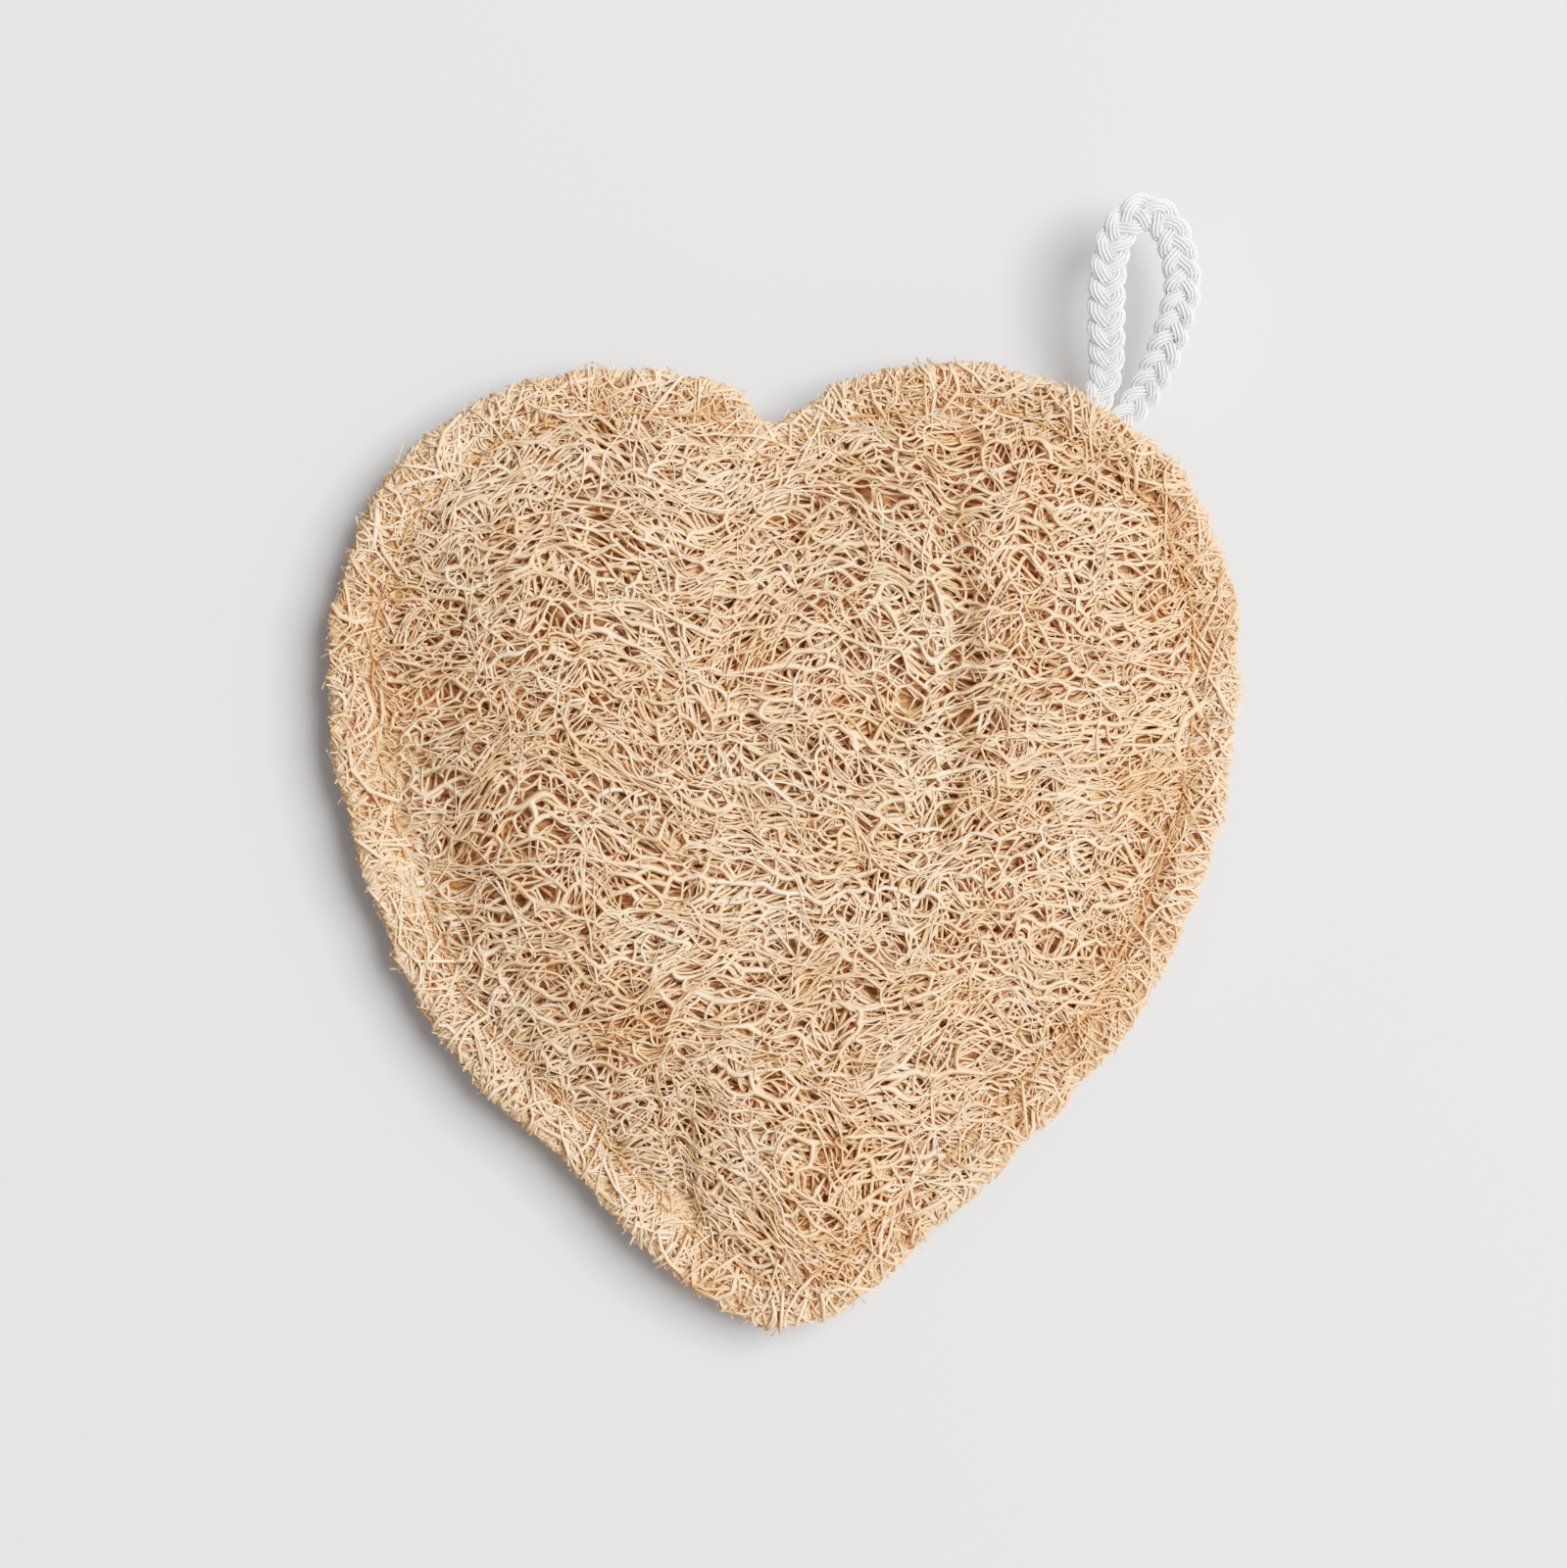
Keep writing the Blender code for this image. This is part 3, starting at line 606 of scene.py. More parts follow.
# Where the net is thin: plan position, reach across and along, and how thin it is there.
OPEN_PATCHES = (
    (-39.0, 12.0, 13.0, 28.0, 0.7), (-58.0, 8.0, 5.0, 34.0, 0.3), (-14.0, -38.0, 7.0, 12.0, 0.5),
    (7.0, -28.0, 12.0, 8.0, 0.4), (24.0, 24.0, 4.0, 20.0, 0.4),
)
# Waves of tight and open net, the wide ones weaker than the small spots.
OPEN_REGIONS = (0.4, 20.0, 5)
OPEN_SPOTS = (1.0, 4.8, 6)
SEAM_SINK = 1.0
SEAM_SINK_WIDTH = 1.3
RIM_DROOP = 1.2
RIM_DROOP_REACH = 2.4


def waves(points, strength, length, seed, main=None):
    """A smooth random field up to about strength either way: waves in plan, all ways or near main."""
    chance = np.random.default_rng(seed)
    total = np.zeros(points.shape[:-1])
    for _ in range(6):
        way = chance.uniform(0, 2 * np.pi) if main is None else chance.normal(main, 0.4)
        size = length * chance.uniform(0.7, 1.6)
        phase = chance.uniform(0, 2 * np.pi)
        push = points[..., 0] * math.cos(way) + points[..., 1] * math.sin(way)
        total = total + np.sin(2 * np.pi * push / size + phase)
    return strength * (total / 3.0)


def mound(points, at_x, at_y, wide, tall):
    """1 at a place in plan, falling smoothly to 0 over its reach across and along."""
    return np.exp(-((points[..., 0] - at_x) / wide) ** 2 - ((points[..., 1] - at_y) / tall) ** 2)


def crease_distance(points):
    """Each point's distance to the nearest crease, which wavers a little along its way."""
    nearest = np.full(points.shape[:-1], 99.0)
    for crease in CREASES:
        for start, end in zip(np.array(crease), np.array(crease)[1:]):
            span = end - start
            offset = points[..., :2] - start
            along = np.clip(offset @ span / (span @ span), 0.0, 1.0)
            nearest = np.minimum(nearest, np.linalg.norm(offset - along[..., None] * span, axis=-1))
    return np.abs(nearest + waves(points, *CREASE_WAVER))


def flowed(points):
    """Bends plan positions by the net's flow and pulls them in towards its dimples."""
    moved = np.array(points[..., :2], float)
    moved[..., 0] += waves(points, *DRIFT, math.pi / 2)
    moved[..., 1] += waves(points, *WANDER, 0.0) + waves(points, *RIPPLE, 0.0)
    moved[..., 0] += waves(points, *CROWD_SIDEWAYS)
    moved[..., 1] += waves(points, *CROWD_LENGTHWISE)
    beat = moved[..., 1] + waves(points, *GATHER_WANDER)
    moved[..., 1] += GATHER * np.sin(2 * np.pi * beat / GATHER_EVERY)
    for x, y, size in DIMPLES:
        offset = moved - (x, y)
        near = np.exp(-(offset ** 2).sum(axis=-1) / (PULL_SPREAD * size**2))
        moved -= offset * (DIMPLE_PULL * near)[..., None]
    return moved


def openness(points):
    """From 0 where the net is tightly filled to 1 where one looks deep into it."""
    total = waves(points, *OPEN_REGIONS) + waves(points, *OPEN_SPOTS)
    total = total + CREASE_OPENNESS * np.exp(-(crease_distance(points) / CREASE_OPEN_WIDTH) ** 2)
    for *patch, share in OPEN_PATCHES:
        total = total + share * mound(points, *patch)
    return np.clip(total, 0.0, 1.0)


def drawn_down(points):
    """How far the seam, the rim, the creases, the hollow and the dimples draw the fibres down."""
    total = SEAM_SINK * np.exp(-(sample(seam_grid, points) / SEAM_SINK_WIDTH) ** 2)
    total = total + RIM_DROOP * np.exp(np.minimum(sample(edge_grid, points), 0.0) / RIM_DROOP_REACH)
    total = total + CREASE_DEPTH * np.exp(-(crease_distance(points) / CREASE_WIDTH) ** 2)
    total = total + HOLLOW_DEPTH * mound(points, *HOLLOW)
    for x, y, size in DIMPLES:
        square = ((points[..., :2] - (x, y)) ** 2).sum(axis=-1)
        total = total + DIMPLE_DEPTH * np.exp(-square / (DIP_SPREAD * size**2))
    return total


# %% [markdown]
# ## Laying fibres down
# A fibre is planned as a row of points that hold its plan position, its height over its layer and
# its radius. Laying it down bends it with the flow, lifts it to its layer and cuts it at the
# heart's edge. The hearts are cut out with a knife, so each fibre simply stops there, a few tenths
# of a millimetre either side of the line. In frayed stretches a few border fibres reach further.

# %% Cutting and laying down
CUT_ERROR = 0.2
# The knife's own waver: how far in mm, over what length, and its seed.
RIM_WAVE = (0.28, 6.0, 22)
THINNEST_COVER = 0.35
# Where the left side begins, and how far from there it counts in full.
LEFT_START = -20.0
LEFT_SPAN = 30.0
# Frayed stretches: a wave along the rim, and the lower tip with its share, place and reach.
TUFT_WAVE = (0.8, 12.0, 21)
TIP_SHARE = 0.9
TIP_PLACE = -72.0
TIP_REACH = 14.0
LEFT_NEATNESS = 0.7


def left_side(points):
    """From 0 over most of the heart to 1 along its left side."""
    return np.clip((LEFT_START - points[..., 0]) / LEFT_SPAN, 0.0, 1.0)


def frayed(points):
    """From 0 where the rim is cut clean to 1 where its ends stick out in tufts, as round the tip."""
    tip = np.exp(-((points[..., 1] - TIP_PLACE) / TIP_REACH) ** 2)
    tufts = np.clip(waves(points, *TUFT_WAVE) + TIP_SHARE * tip, 0.0, 1.0)
    return tufts * (1.0 - LEFT_NEATNESS * left_side(points))


def cut_at_edge(path, radii, reach):
    """The stretches of a path whose distance outside the edge stays under zero, cut exactly there."""
    inside = reach < 0
    if inside.all():
        return [(path, radii)]
    turns = np.flatnonzero(np.diff(inside.astype(int)))
    pieces = []
    for first, last in zip([0, *(turns + 1)], [*turns, len(path) - 1]):
        if not inside[first] or last - first < 1:
            continue
        points, sizes = path[first:last + 1], radii[first:last + 1]
        if first > 0:
            share = reach[first] / (reach[first] - reach[first - 1])
            points = np.vstack([path[first] + share * (path[first - 1] - path[first]), points])
            sizes = np.concatenate([radii[first:first + 1], sizes])
        if last < len(path) - 1:
            share = reach[last] / (reach[last] - reach[last + 1])
            points = np.vstack([points, path[last] + share * (path[last + 1] - path[last])])
            sizes = np.concatenate([sizes, radii[last:last + 1]])
        pieces.append((points, sizes))
    return pieces


def lay_down(plans, level, sheet, seed, bend=True, overhang=-0.05, wide=0.0, sag=0.0, stray=0.0):
    """Lays planned fibres on a sheet, level mm over its surface, and cuts them at its edge.

    Their ends pass the cut by overhang, and some by up to stray where the rim is frayed. The cut
    lies wide mm further out on the left, and a layer sags by up to sag where the net is open.
    """
    grid, side, *_ = sheet
    counts = [len(plan) for plan in plans]
    ends = np.cumsum(counts)
    points = np.concatenate(plans)
    place = flowed(points) if bend else points[:, :2]
    height = sample(grid, place) - drawn_down(place) + level + points[:, 2]
    if sag:
        height = height - sag * openness(place)
    height = np.maximum(height, THINNEST_COVER)
    z = MIDDLE + side * height
    if side < 0:
        z = np.maximum(z, points[:, 3])
    laid = np.column_stack([place, z])
    error = np.random.default_rng(seed).normal(overhang, CUT_ERROR, len(plans))
    error += stray * np.random.default_rng(seed + 1).random(len(plans)) ** 3 * frayed(place[ends - 1])
    reach = sample(edge_grid, place) - waves(place, *RIM_WAVE) - np.repeat(error, counts)
    if wide:
        reach = reach - wide * left_side(place)
    fibres = []
    for start, end in zip(ends - counts, ends):
        fibres += cut_at_edge(laid[start:end], points[start:end, 3], reach[start:end])
    return fibres


# %% [markdown]
# ## Laying out a net
# A natural net looks like foam: most corners join three fibres. Scattered points, joined into
# triangles, give exactly that, because the middles of neighbouring triangles make the net. Drawing
# the net out sideways turns its meshes into lenses with sharp forks, as in the gourd. Chaining the
# straightest pair at each corner then turns short links into long branching strands, which swell
# where they meet, like webs of skin.

# %% Net of strands
FIELD_LOW = np.array([-70.0, -75.0])
FIELD_HIGH = np.array([70.0, 69.0])
NET_REACH = 94.0
NET_JITTER = 0.44
# Two links run on as one strand if the cosine between them is under this.
STRAIGHT_ENOUGH = -0.3
STRAND_EASE = 0.16
JOINED_TAPER = 0.6
# Fibres are only planned where they come this near to the heart, in mm outside its edge.
NEAR_EDGE = 2.0
# Strands differ in width, never get thinner than a share of it, and are slimmer between forks.
STRAND_SPREAD = 0.24
THINNEST_STRAND = 0.45
BETWEEN_FORKS = 0.78


def open_net(opening, stretch, seed, turn=0.0):
    """A net's corners, the pairs of corners its links join, and the ring of corners of each mesh."""
    chance = np.random.default_rng(seed)
    tall = opening * math.sqrt(3) / 2
    rows, columns = int(2 * NET_REACH / tall), int(2 * NET_REACH / stretch / opening)
    row, column = np.meshgrid(np.arange(rows), np.arange(columns), indexing="ij")
    points = np.stack([(column + 0.5 * (row % 2)) * opening, row * tall], axis=-1).reshape(-1, 2)
    points = points + chance.uniform(-NET_JITTER, NET_JITTER, points.shape) * opening
    cosine, sine = math.cos(turn), math.sin(turn)
    spread = np.array([[stretch * cosine, stretch * sine], [-sine, cosine]])
    points = points - points.mean(axis=0)
    placed = points @ spread
    points = points[((placed > FIELD_LOW) & (placed < FIELD_HIGH)).all(axis=1)]
    flat, _, faces, *_ = geometry.delaunay_2d_cdt([Vector(point) for point in points], [], [], 0, 1e-5)
    flat = np.array([(p.x, p.y) for p in flat]) @ spread
    corners = flat[np.array(faces)].mean(axis=1)
    shared, around = defaultdict(list), defaultdict(list)
    for index, (a, b, c) in enumerate(faces):
        for pair in ((a, b), (b, c), (c, a)):
            shared[tuple(sorted(pair))].append(index)
        for point in (a, b, c):
            around[point].append(index)
    links = [tuple(found) for found in shared.values() if len(found) == 2]
    meshes = []
    for point, ring in around.items():
        if len(ring) < 4:
            continue
        angle = np.arctan2(*(corners[ring] - flat[point]).T[::-1])
        meshes.append(np.array(ring)[np.argsort(angle)])
    return corners, links, meshes


def straightest_pair(corners, corner, ends):
    """The two links at a corner that make the straightest way through, if it is straight enough."""
    best = (STRAIGHT_ENOUGH, None, None)
    for i, (link, far) in enumerate(ends):
        one = corners[far] - corners[corner]
        for other_link, other_far in ends[i + 1:]:
            two = corners[other_far] - corners[corner]
            turn = one @ two / (np.linalg.norm(one) * np.linalg.norm(two) + 1e-9)
            if turn < best[0]:
                best = (turn, link, other_link)
    return best[1:]


def long_strands(corners, links, kept, seed):
    """Chains links into long strands of corners, after leaving some links out."""
    chance = random.Random(seed)
    links = [link for link in links if chance.random() < kept]
    meeting = defaultdict(list)
    for index, (a, b) in enumerate(links):
        meeting[a].append((index, b))
        meeting[b].append((index, a))
    partner = {}
    for corner, ends in meeting.items():
        one, two = straightest_pair(corners, corner, ends)
        if one is not None:
            partner[one, corner] = two
            partner[two, corner] = one
    used, strands = set(), []
    for index, (a, b) in enumerate(links):
        if index in used:
            continue
        used.add(index)
        strand = [a, b]
        for grow_at_end in (True, False):
            link = index
            corner = strand[-1] if grow_at_end else strand[0]
            while (link, corner) in partner and partner[link, corner] not in used:
                link = partner[link, corner]
                used.add(link)
                one, two = links[link]
                corner = two if corner == one else one
                strand = strand + [corner] if grow_at_end else [corner] + strand
        strands.append(strand)
    return strands


def eased(corners, strands, pull):
    """Draws each strand's inner corners towards their neighbours, so zigzags become gentler bends."""
    moved = corners.copy()
    threes = [three for strand in strands for three in zip(strand, strand[1:], strand[2:])]
    before, inner, after = np.array(threes).T
    moved[inner] = (1 - 2 * pull) * corners[inner] + pull * (corners[before] + corners[after])
    return moved


def joined_end(knots, hosts, strand):
    """A point half a link along the strand that this one runs into, where it blends in."""
    last, corner = strand[-2:]
    if corner not in hosts:
        return None
    arriving = knots[corner, :2] - knots[last, :2]
    onward = max(hosts[corner], key=lambda other: (knots[other, :2] - knots[corner, :2]) @ arriving)
    point = 0.5 * (knots[corner] + knots[onward])
    point[3] *= JOINED_TAPER
    return point


def net_plans(opening, stretch, kept, radius, sway, seed, step=0.9, web=0.45, turn=0.0):
    """Plans for the strands of one net, whose ends blend into the strands they run into."""
    corners, links, meshes = open_net(opening, stretch, seed, turn)
    chance = np.random.default_rng(seed + 1)
    strands = long_strands(corners, links, kept, seed)
    corners = eased(corners, strands, STRAND_EASE)
    swell = chance.normal(0.0, sway, len(corners))
    stout = radius * np.exp(chance.normal(0.0, STRAND_SPREAD, len(corners)))
    knots = np.column_stack([corners, swell, stout])
    near = sample(edge_grid, flowed(corners)) < NEAR_EDGE
    hosts = {b: (a, c) for strand in strands for a, b, c in zip(strand, strand[1:], strand[2:])}
    plans = []
    for strand in strands:
        if not near[strand].any():
            continue
        way = knots[strand]
        size = np.linalg.norm(np.diff(way[:, :2], axis=0), axis=1).mean()
        steps = max(2, round(size / step))
        head, tail = joined_end(knots, hosts, strand[::-1]), joined_end(knots, hosts, strand)
        way = np.vstack([point for point in (head, *way, tail) if point is not None])
        path = smooth_curve(way, steps)
        at_corner = np.abs(np.cos(np.pi * np.arange(len(path)) / steps))
        wide = np.maximum(path[:, 3], THINNEST_STRAND * radius)
        path[:, 3] = wide * (BETWEEN_FORKS + web * at_corner ** 4)
        # A joined end lies inside the strand that it runs into, so one straight step will do there.
        before, first = (path[:0], 0) if head is None else (path[:1], steps)
        after, last = (path[:0], len(path)) if tail is None else (path[-1:], len(path) - steps)
        plans.append(np.vstack([before, path[first:last], after]))
    return plans, (corners, meshes)


# %% [markdown]
# ## Webbed nets
# On the surface of the gourd the strands are joined by thin webs, so the openings are round-cornered
# and the forks are flat and wide. Tubes can't show that. Here a net is one skin: a ridge runs over
# and under every strand, and inside each mesh both slope to the rounded rim of a hole. Such a net
# ends raggedly at the border, which is made of cut ends.

# %% Webbed net
NET_END = -3.2
NET_END_WAVE = (0.35, 8.0, 9)
WEB_EASE = 0.15
# Half of the shortest strands are thin. The others grow stouter with their number of links.
THIN_SHARE = 0.5
THIN_WIDTH = 0.45
SHORT_WIDTH = 0.66
WIDTH_PER_LINK = 0.09
WIDTH_SPREAD = 0.22
MOST_WIDTH = 1.2
# Links bow sideways by about this share of their length, and the skin sways up and down.
LINK_BOW = 0.09
CORNER_SWAY = 0.14
# The skin's half height against its half width, and how much of that is left at a fork.
SKIN_HEIGHT = 0.9
FORK_HEIGHT = 0.9
SWAY_LENGTH = 7.0
HOLE_ROOM = 0.7
WEB_COVER = THINNEST_COVER + 0.1


def link_points(corners, links, widths, radius, web, steps, chance):
    """Ridge points at the corners and along the links: plan, half width, and half height."""
    a, b = np.array(links).T
    t = (np.arange(1, steps) / steps)[None, :, None]
    span = corners[b] - corners[a]
    aside = np.stack([-span[:, 1], span[:, 0]], axis=1)
    bow = chance.normal(0.0, LINK_BOW, (len(links), 1, 1)) * 4 * t * (1 - t)
    plan = corners[a][:, None] + span[:, None] * t + aside[:, None] * bow
    total, many = np.zeros(len(corners)), np.zeros(len(corners))
    for ends in (a, b):
        np.add.at(total, ends, widths)
        np.add.at(many, ends, 1)
    at_corner = radius * (1 + web) * total / np.maximum(many, 1)
    near_a, near_b = (1 - t[..., 0]) ** 3, t[..., 0] ** 3
    own = radius * widths[:, None]
    half = own + (at_corner[a][:, None] - own) * near_a + (at_corner[b][:, None] - own) * near_b
    fork = FORK_HEIGHT * total / np.maximum(many, 1)
    tall = SKIN_HEIGHT * radius * np.concatenate([fork, np.repeat(widths, steps - 1)])
    return np.vstack([corners, plan.reshape(-1, 2)]), np.concatenate([at_corner, half.ravel()]), tall


def rim_of_hole(edge, half):
    """The rounded rim of the hole inside a ring of ridge points."""
    along = np.roll(edge, -1, axis=0) - np.roll(edge, 1, axis=0)
    along /= np.linalg.norm(along, axis=1)[:, None] + 1e-9
    inward = np.stack([-along[:, 1], along[:, 0]], axis=1)
    inward = inward + 0.5 * (np.roll(inward, 1, axis=0) + np.roll(inward, -1, axis=0))
    inward /= np.linalg.norm(inward, axis=1)[:, None]
    room = HOLE_ROOM * np.linalg.norm(edge - edge.mean(axis=0), axis=1)
    return edge + inward * np.minimum(half, room)[:, None]


def widths_and_shades(links, strands, number, chance):
    """Each link's width and shade, which it shares with the rest of its strand."""
    widths, shades = np.ones(len(links)), np.zeros(len(links))
    for strand in strands:
        mine = [number[frozenset(pair)] for pair in zip(strand, strand[1:])]
        thin = THIN_WIDTH if len(mine) < 3 and chance.random() < THIN_SHARE else 1.0
        stout = SHORT_WIDTH + WIDTH_PER_LINK * min(len(mine), 5)
        widths[mine] = thin * min(stout * np.exp(chance.normal(0.0, WIDTH_SPREAD)), MOST_WIDTH)
        shades[mine] = chance.random()
    return widths, shades


def ridge_rings(meshes, links, inner, number, inside):
    """The ring of ridge points round each mesh inside the border, and the ways it was traced."""
    rings, traced = [], set()
    for mesh in meshes:
        pairs = list(zip(mesh, np.roll(mesh, -1)))
        if not inside[mesh].all() or any(frozenset(pair) not in number for pair in pairs):
            continue
        ring = []
        for one, two in pairs:
            index = number[frozenset((one, two))]
            ring += [one, *(inner[index] if links[index][0] == one else inner[index][::-1])]
            traced.add((one, two))
        rings.append(np.array(ring))
    return rings, traced


def skin_faces(rings, traced, plan, half, steps):
    """The holes' rims, and faces that slope to them from the ridges over and under the net."""
    ridges = len(plan)
    first = 2 * ridges
    rims, quads, quad_uv = [], [], []
    for ring in rings:
        edge = plan[ring]
        rims.append(rim_of_hole(edge, half[ring]))
        rim = first + np.arange(len(ring))
        first += len(ring)
        after, rim_after = np.roll(ring, -1), np.roll(rim, -1)
        size = np.linalg.norm(np.roll(edge, -1, axis=0) - edge, axis=1)
        v1 = np.cumsum(size)
        v0 = v1 - size
        every = np.ones(len(ring), bool)
        strips = [(ring, after, rim_after, rim, 0.0, 0.25, every),
                  (rim, rim_after, after + ridges, ring + ridges, 0.25, 0.5, every)]
        # Links with no mesh on their other side are closed there from the upper to the lower ridge.
        starts = ring[::steps]
        alone = [(two, one) not in traced for one, two in zip(starts, np.roll(starts, -1))]
        if any(alone):
            strips.append((ring, ring + ridges, after + ridges, after, 0.0, 0.5, np.repeat(alone, steps)))
        for *quad, u0, u1, picked in strips:
            quads.append(np.stack(quad, axis=1)[picked])
            low, high = np.full(len(ring), u0), np.full(len(ring), u1)
            sides = ((low, v0), (low, v1), (high, v1), (high, v0))
            quad_uv.append(np.stack([np.stack(side, axis=1) for side in sides], axis=1)[picked])
    return rims, np.concatenate(quads), np.concatenate(quad_uv)


def webbed_net(name, sheet, seed, opening, stretch, radius, web, sway, level, steps=3, turn=0.0, sag=0.0):
    """A net with webs at its forks, laid on a sheet inside its border, as a mesh object."""
    grid, side, *_ = sheet
    corners, links, meshes = open_net(opening, stretch, seed, turn)
    chance = np.random.default_rng(seed + 1)
    strands = long_strands(corners, links, 1.0, seed)
    corners = eased(corners, strands, WEB_EASE)
    number = {frozenset(link): index for index, link in enumerate(links)}
    widths, shades = widths_and_shades(links, strands, number, chance)
    plan, half, tall = link_points(corners, links, widths, radius, web, steps, chance)
    a, b = np.array(links).T
    inner = np.arange(len(corners), len(plan)).reshape(len(links), steps - 1)
    t = (np.arange(1, steps) / steps)[None, :]
    swell = chance.normal(0.0, CORNER_SWAY, len(plan))
    swell[inner] = swell[a][:, None] * (1 - t) + swell[b][:, None] * t
    swell += waves(plan, sway, SWAY_LENGTH, seed)
    shade = np.concatenate([np.full(len(corners), 0.5), np.repeat(shades, steps - 1)])
    shade[a], shade[b] = shades, shades
    place = flowed(plan)
    inside = sample(edge_grid, place) < NET_END * (1.0 + waves(place, *NET_END_WAVE))
    rings, traced = ridge_rings(meshes, links, inner, number, inside)
    rims, quads, uv = skin_faces(rings, traced, plan, half, steps)
    owner = np.concatenate(rings)
    source = np.concatenate([np.arange(len(plan)), np.arange(len(plan)), owner])
    place = flowed(np.vstack([plan, plan, *rims]))
    height = sample(grid, place) - drawn_down(place) + level + swell[source] - sag * openness(place)
    height = np.maximum(height, WEB_COVER)
    if side < 0:
        height = np.minimum(height, MIDDLE - tall[source])
    up = np.concatenate([tall, -tall, np.zeros(len(owner))])
    z = MIDDLE + side * (height + up)
    used, faces = np.unique(quads, return_inverse=True)
    faces = faces.reshape(-1, 4)
    if side < 0:
        faces, uv = faces[:, ::-1], uv[:, ::-1]
    return filled_mesh(name, np.column_stack([place, z])[used], [faces], [uv], shade[source][used])


# %% [markdown]
# ## Filling a net's meshes
# Finer fibres cross each opening side by side, each opening in its own direction, bowed and drawn
# together at their ends, which leaves the small lens-shaped gaps that look so dark in a loofah.

# %% Rows of filling fibres
OPEN_SHARE = 0.9
# Most meshes are filled along the flow, the others any way.
ALONG_FLOW = 0.7
PINCH = (0.45, 1.0)
ROW_STEP = (0.6, 1.5)
ROW_OVERRUN = (0.3, 1.3)
SHORTEST_ROW = 1.0
# A mesh's rows lie a little high or low together, and each one bows, slants, rises and dips.
MESH_LIFT = 0.3
ROW_BOW = 0.3
ROW_SLANT = 0.14
ROW_LIFT = 0.2
ROW_DIP = 0.3


def row_crossings(ring, height):
    """Where a level line enters and leaves a ring of points."""
    x0, y0 = ring[:, 0], ring[:, 1]
    x1, y1 = np.roll(x0, -1), np.roll(y0, -1)
    crossing = (y0 > height) != (y1 > height)
    if not crossing.any():
        return None
    x = x0[crossing] + (height - y0[crossing]) * (x1 - x0)[crossing] / (y1 - y0)[crossing]
    return x.min(), x.max()


def filling_plans(net, spacing, share, turn, radius, seed, points=5, left_open=OPEN_SHARE):
    """Rows of finer fibres that fill a net's meshes, each mesh with its own direction."""
    corners, meshes = net
    chance = random.Random(seed)
    t = np.linspace(0.0, 1.0, points)
    arch = np.sin(np.pi * t)
    near = sample(edge_grid, flowed(corners)) < NEAR_EDGE
    filled = share * (1.0 - left_open * openness(flowed(corners)))
    plans = []
    for mesh in meshes:
        if chance.random() > filled[mesh[0]] or not near[mesh].any():
            continue
        ring = corners[mesh]
        middle = ring.mean(axis=0)
        angle = chance.gauss(0.0, turn) if chance.random() < ALONG_FLOW else chance.uniform(0.0, math.pi)
        c, s = math.cos(angle), math.sin(angle)
        local = (ring - middle) @ np.array([[c, -s], [s, c]])
        pinch = chance.uniform(*PINCH), chance.uniform(*PINCH)
        draw = pinch[0] + (pinch[1] - pinch[0]) * t
        draw = draw + (1.0 - draw) * arch ** 0.8
        mesh_level = chance.uniform(-MESH_LIFT, MESH_LIFT)
        row = local[:, 1].min() + spacing * chance.uniform(0.3, 0.9)
        while row < local[:, 1].max():
            found = row_crossings(local, row)
            if found and found[1] - found[0] > SHORTEST_ROW:
                over = chance.uniform(*ROW_OVERRUN)
                x = found[0] - over + (found[1] - found[0] + 2 * over) * t
                y = row * draw + chance.gauss(0.0, ROW_BOW) * arch
                y = y + chance.gauss(0.0, ROW_SLANT) * (x - x.mean())
                z = mesh_level + chance.gauss(0.0, ROW_LIFT) + ROW_DIP * (arch - 1.0)
                wide = radius * math.exp(chance.gauss(0.0, WIDTH_SPREAD)) * (0.85 + 0.2 * arch)
                plan = (x * c - y * s + middle[0], x * s + y * c + middle[1], z, wide)
                plans.append(np.column_stack(plan))
            row += spacing * chance.uniform(*ROW_STEP)
    return plans


def filling(opening, stretch, spacing, share, turn, radius, seed, **rows):
    """Rows of finer fibres over the meshes of a net that isn't built itself."""
    _, net = net_plans(opening, stretch, 0.5, 0.2, 0.2, seed, step=2.0)
    return filling_plans(net, spacing, share, turn, radius, seed + 1, **rows)


# %% [markdown]
# ## Loose fibres
# Scrubbed, cut and handled, a loofah is full of broken ends: short pieces that stick out of the
# net, and fine pale hairs that curl over it. Both are short wandering paths, one end or both sunk.
# Here and there a knot sends out a few tapering fibres.

# %% Broken ends and hairs
# So many starts are tried for each fibre wanted, more for a rim band, as most of them miss it.
TRIES = 4
BAND_TRIES = 16
# How much loose and cut fibres differ in width.
LOOSE_SPREAD = 0.25
# Knots keep this far inside the edge, and their fibres reach further sideways.
KNOT_INSET = 6.0
KNOT_STRETCH = 1.3


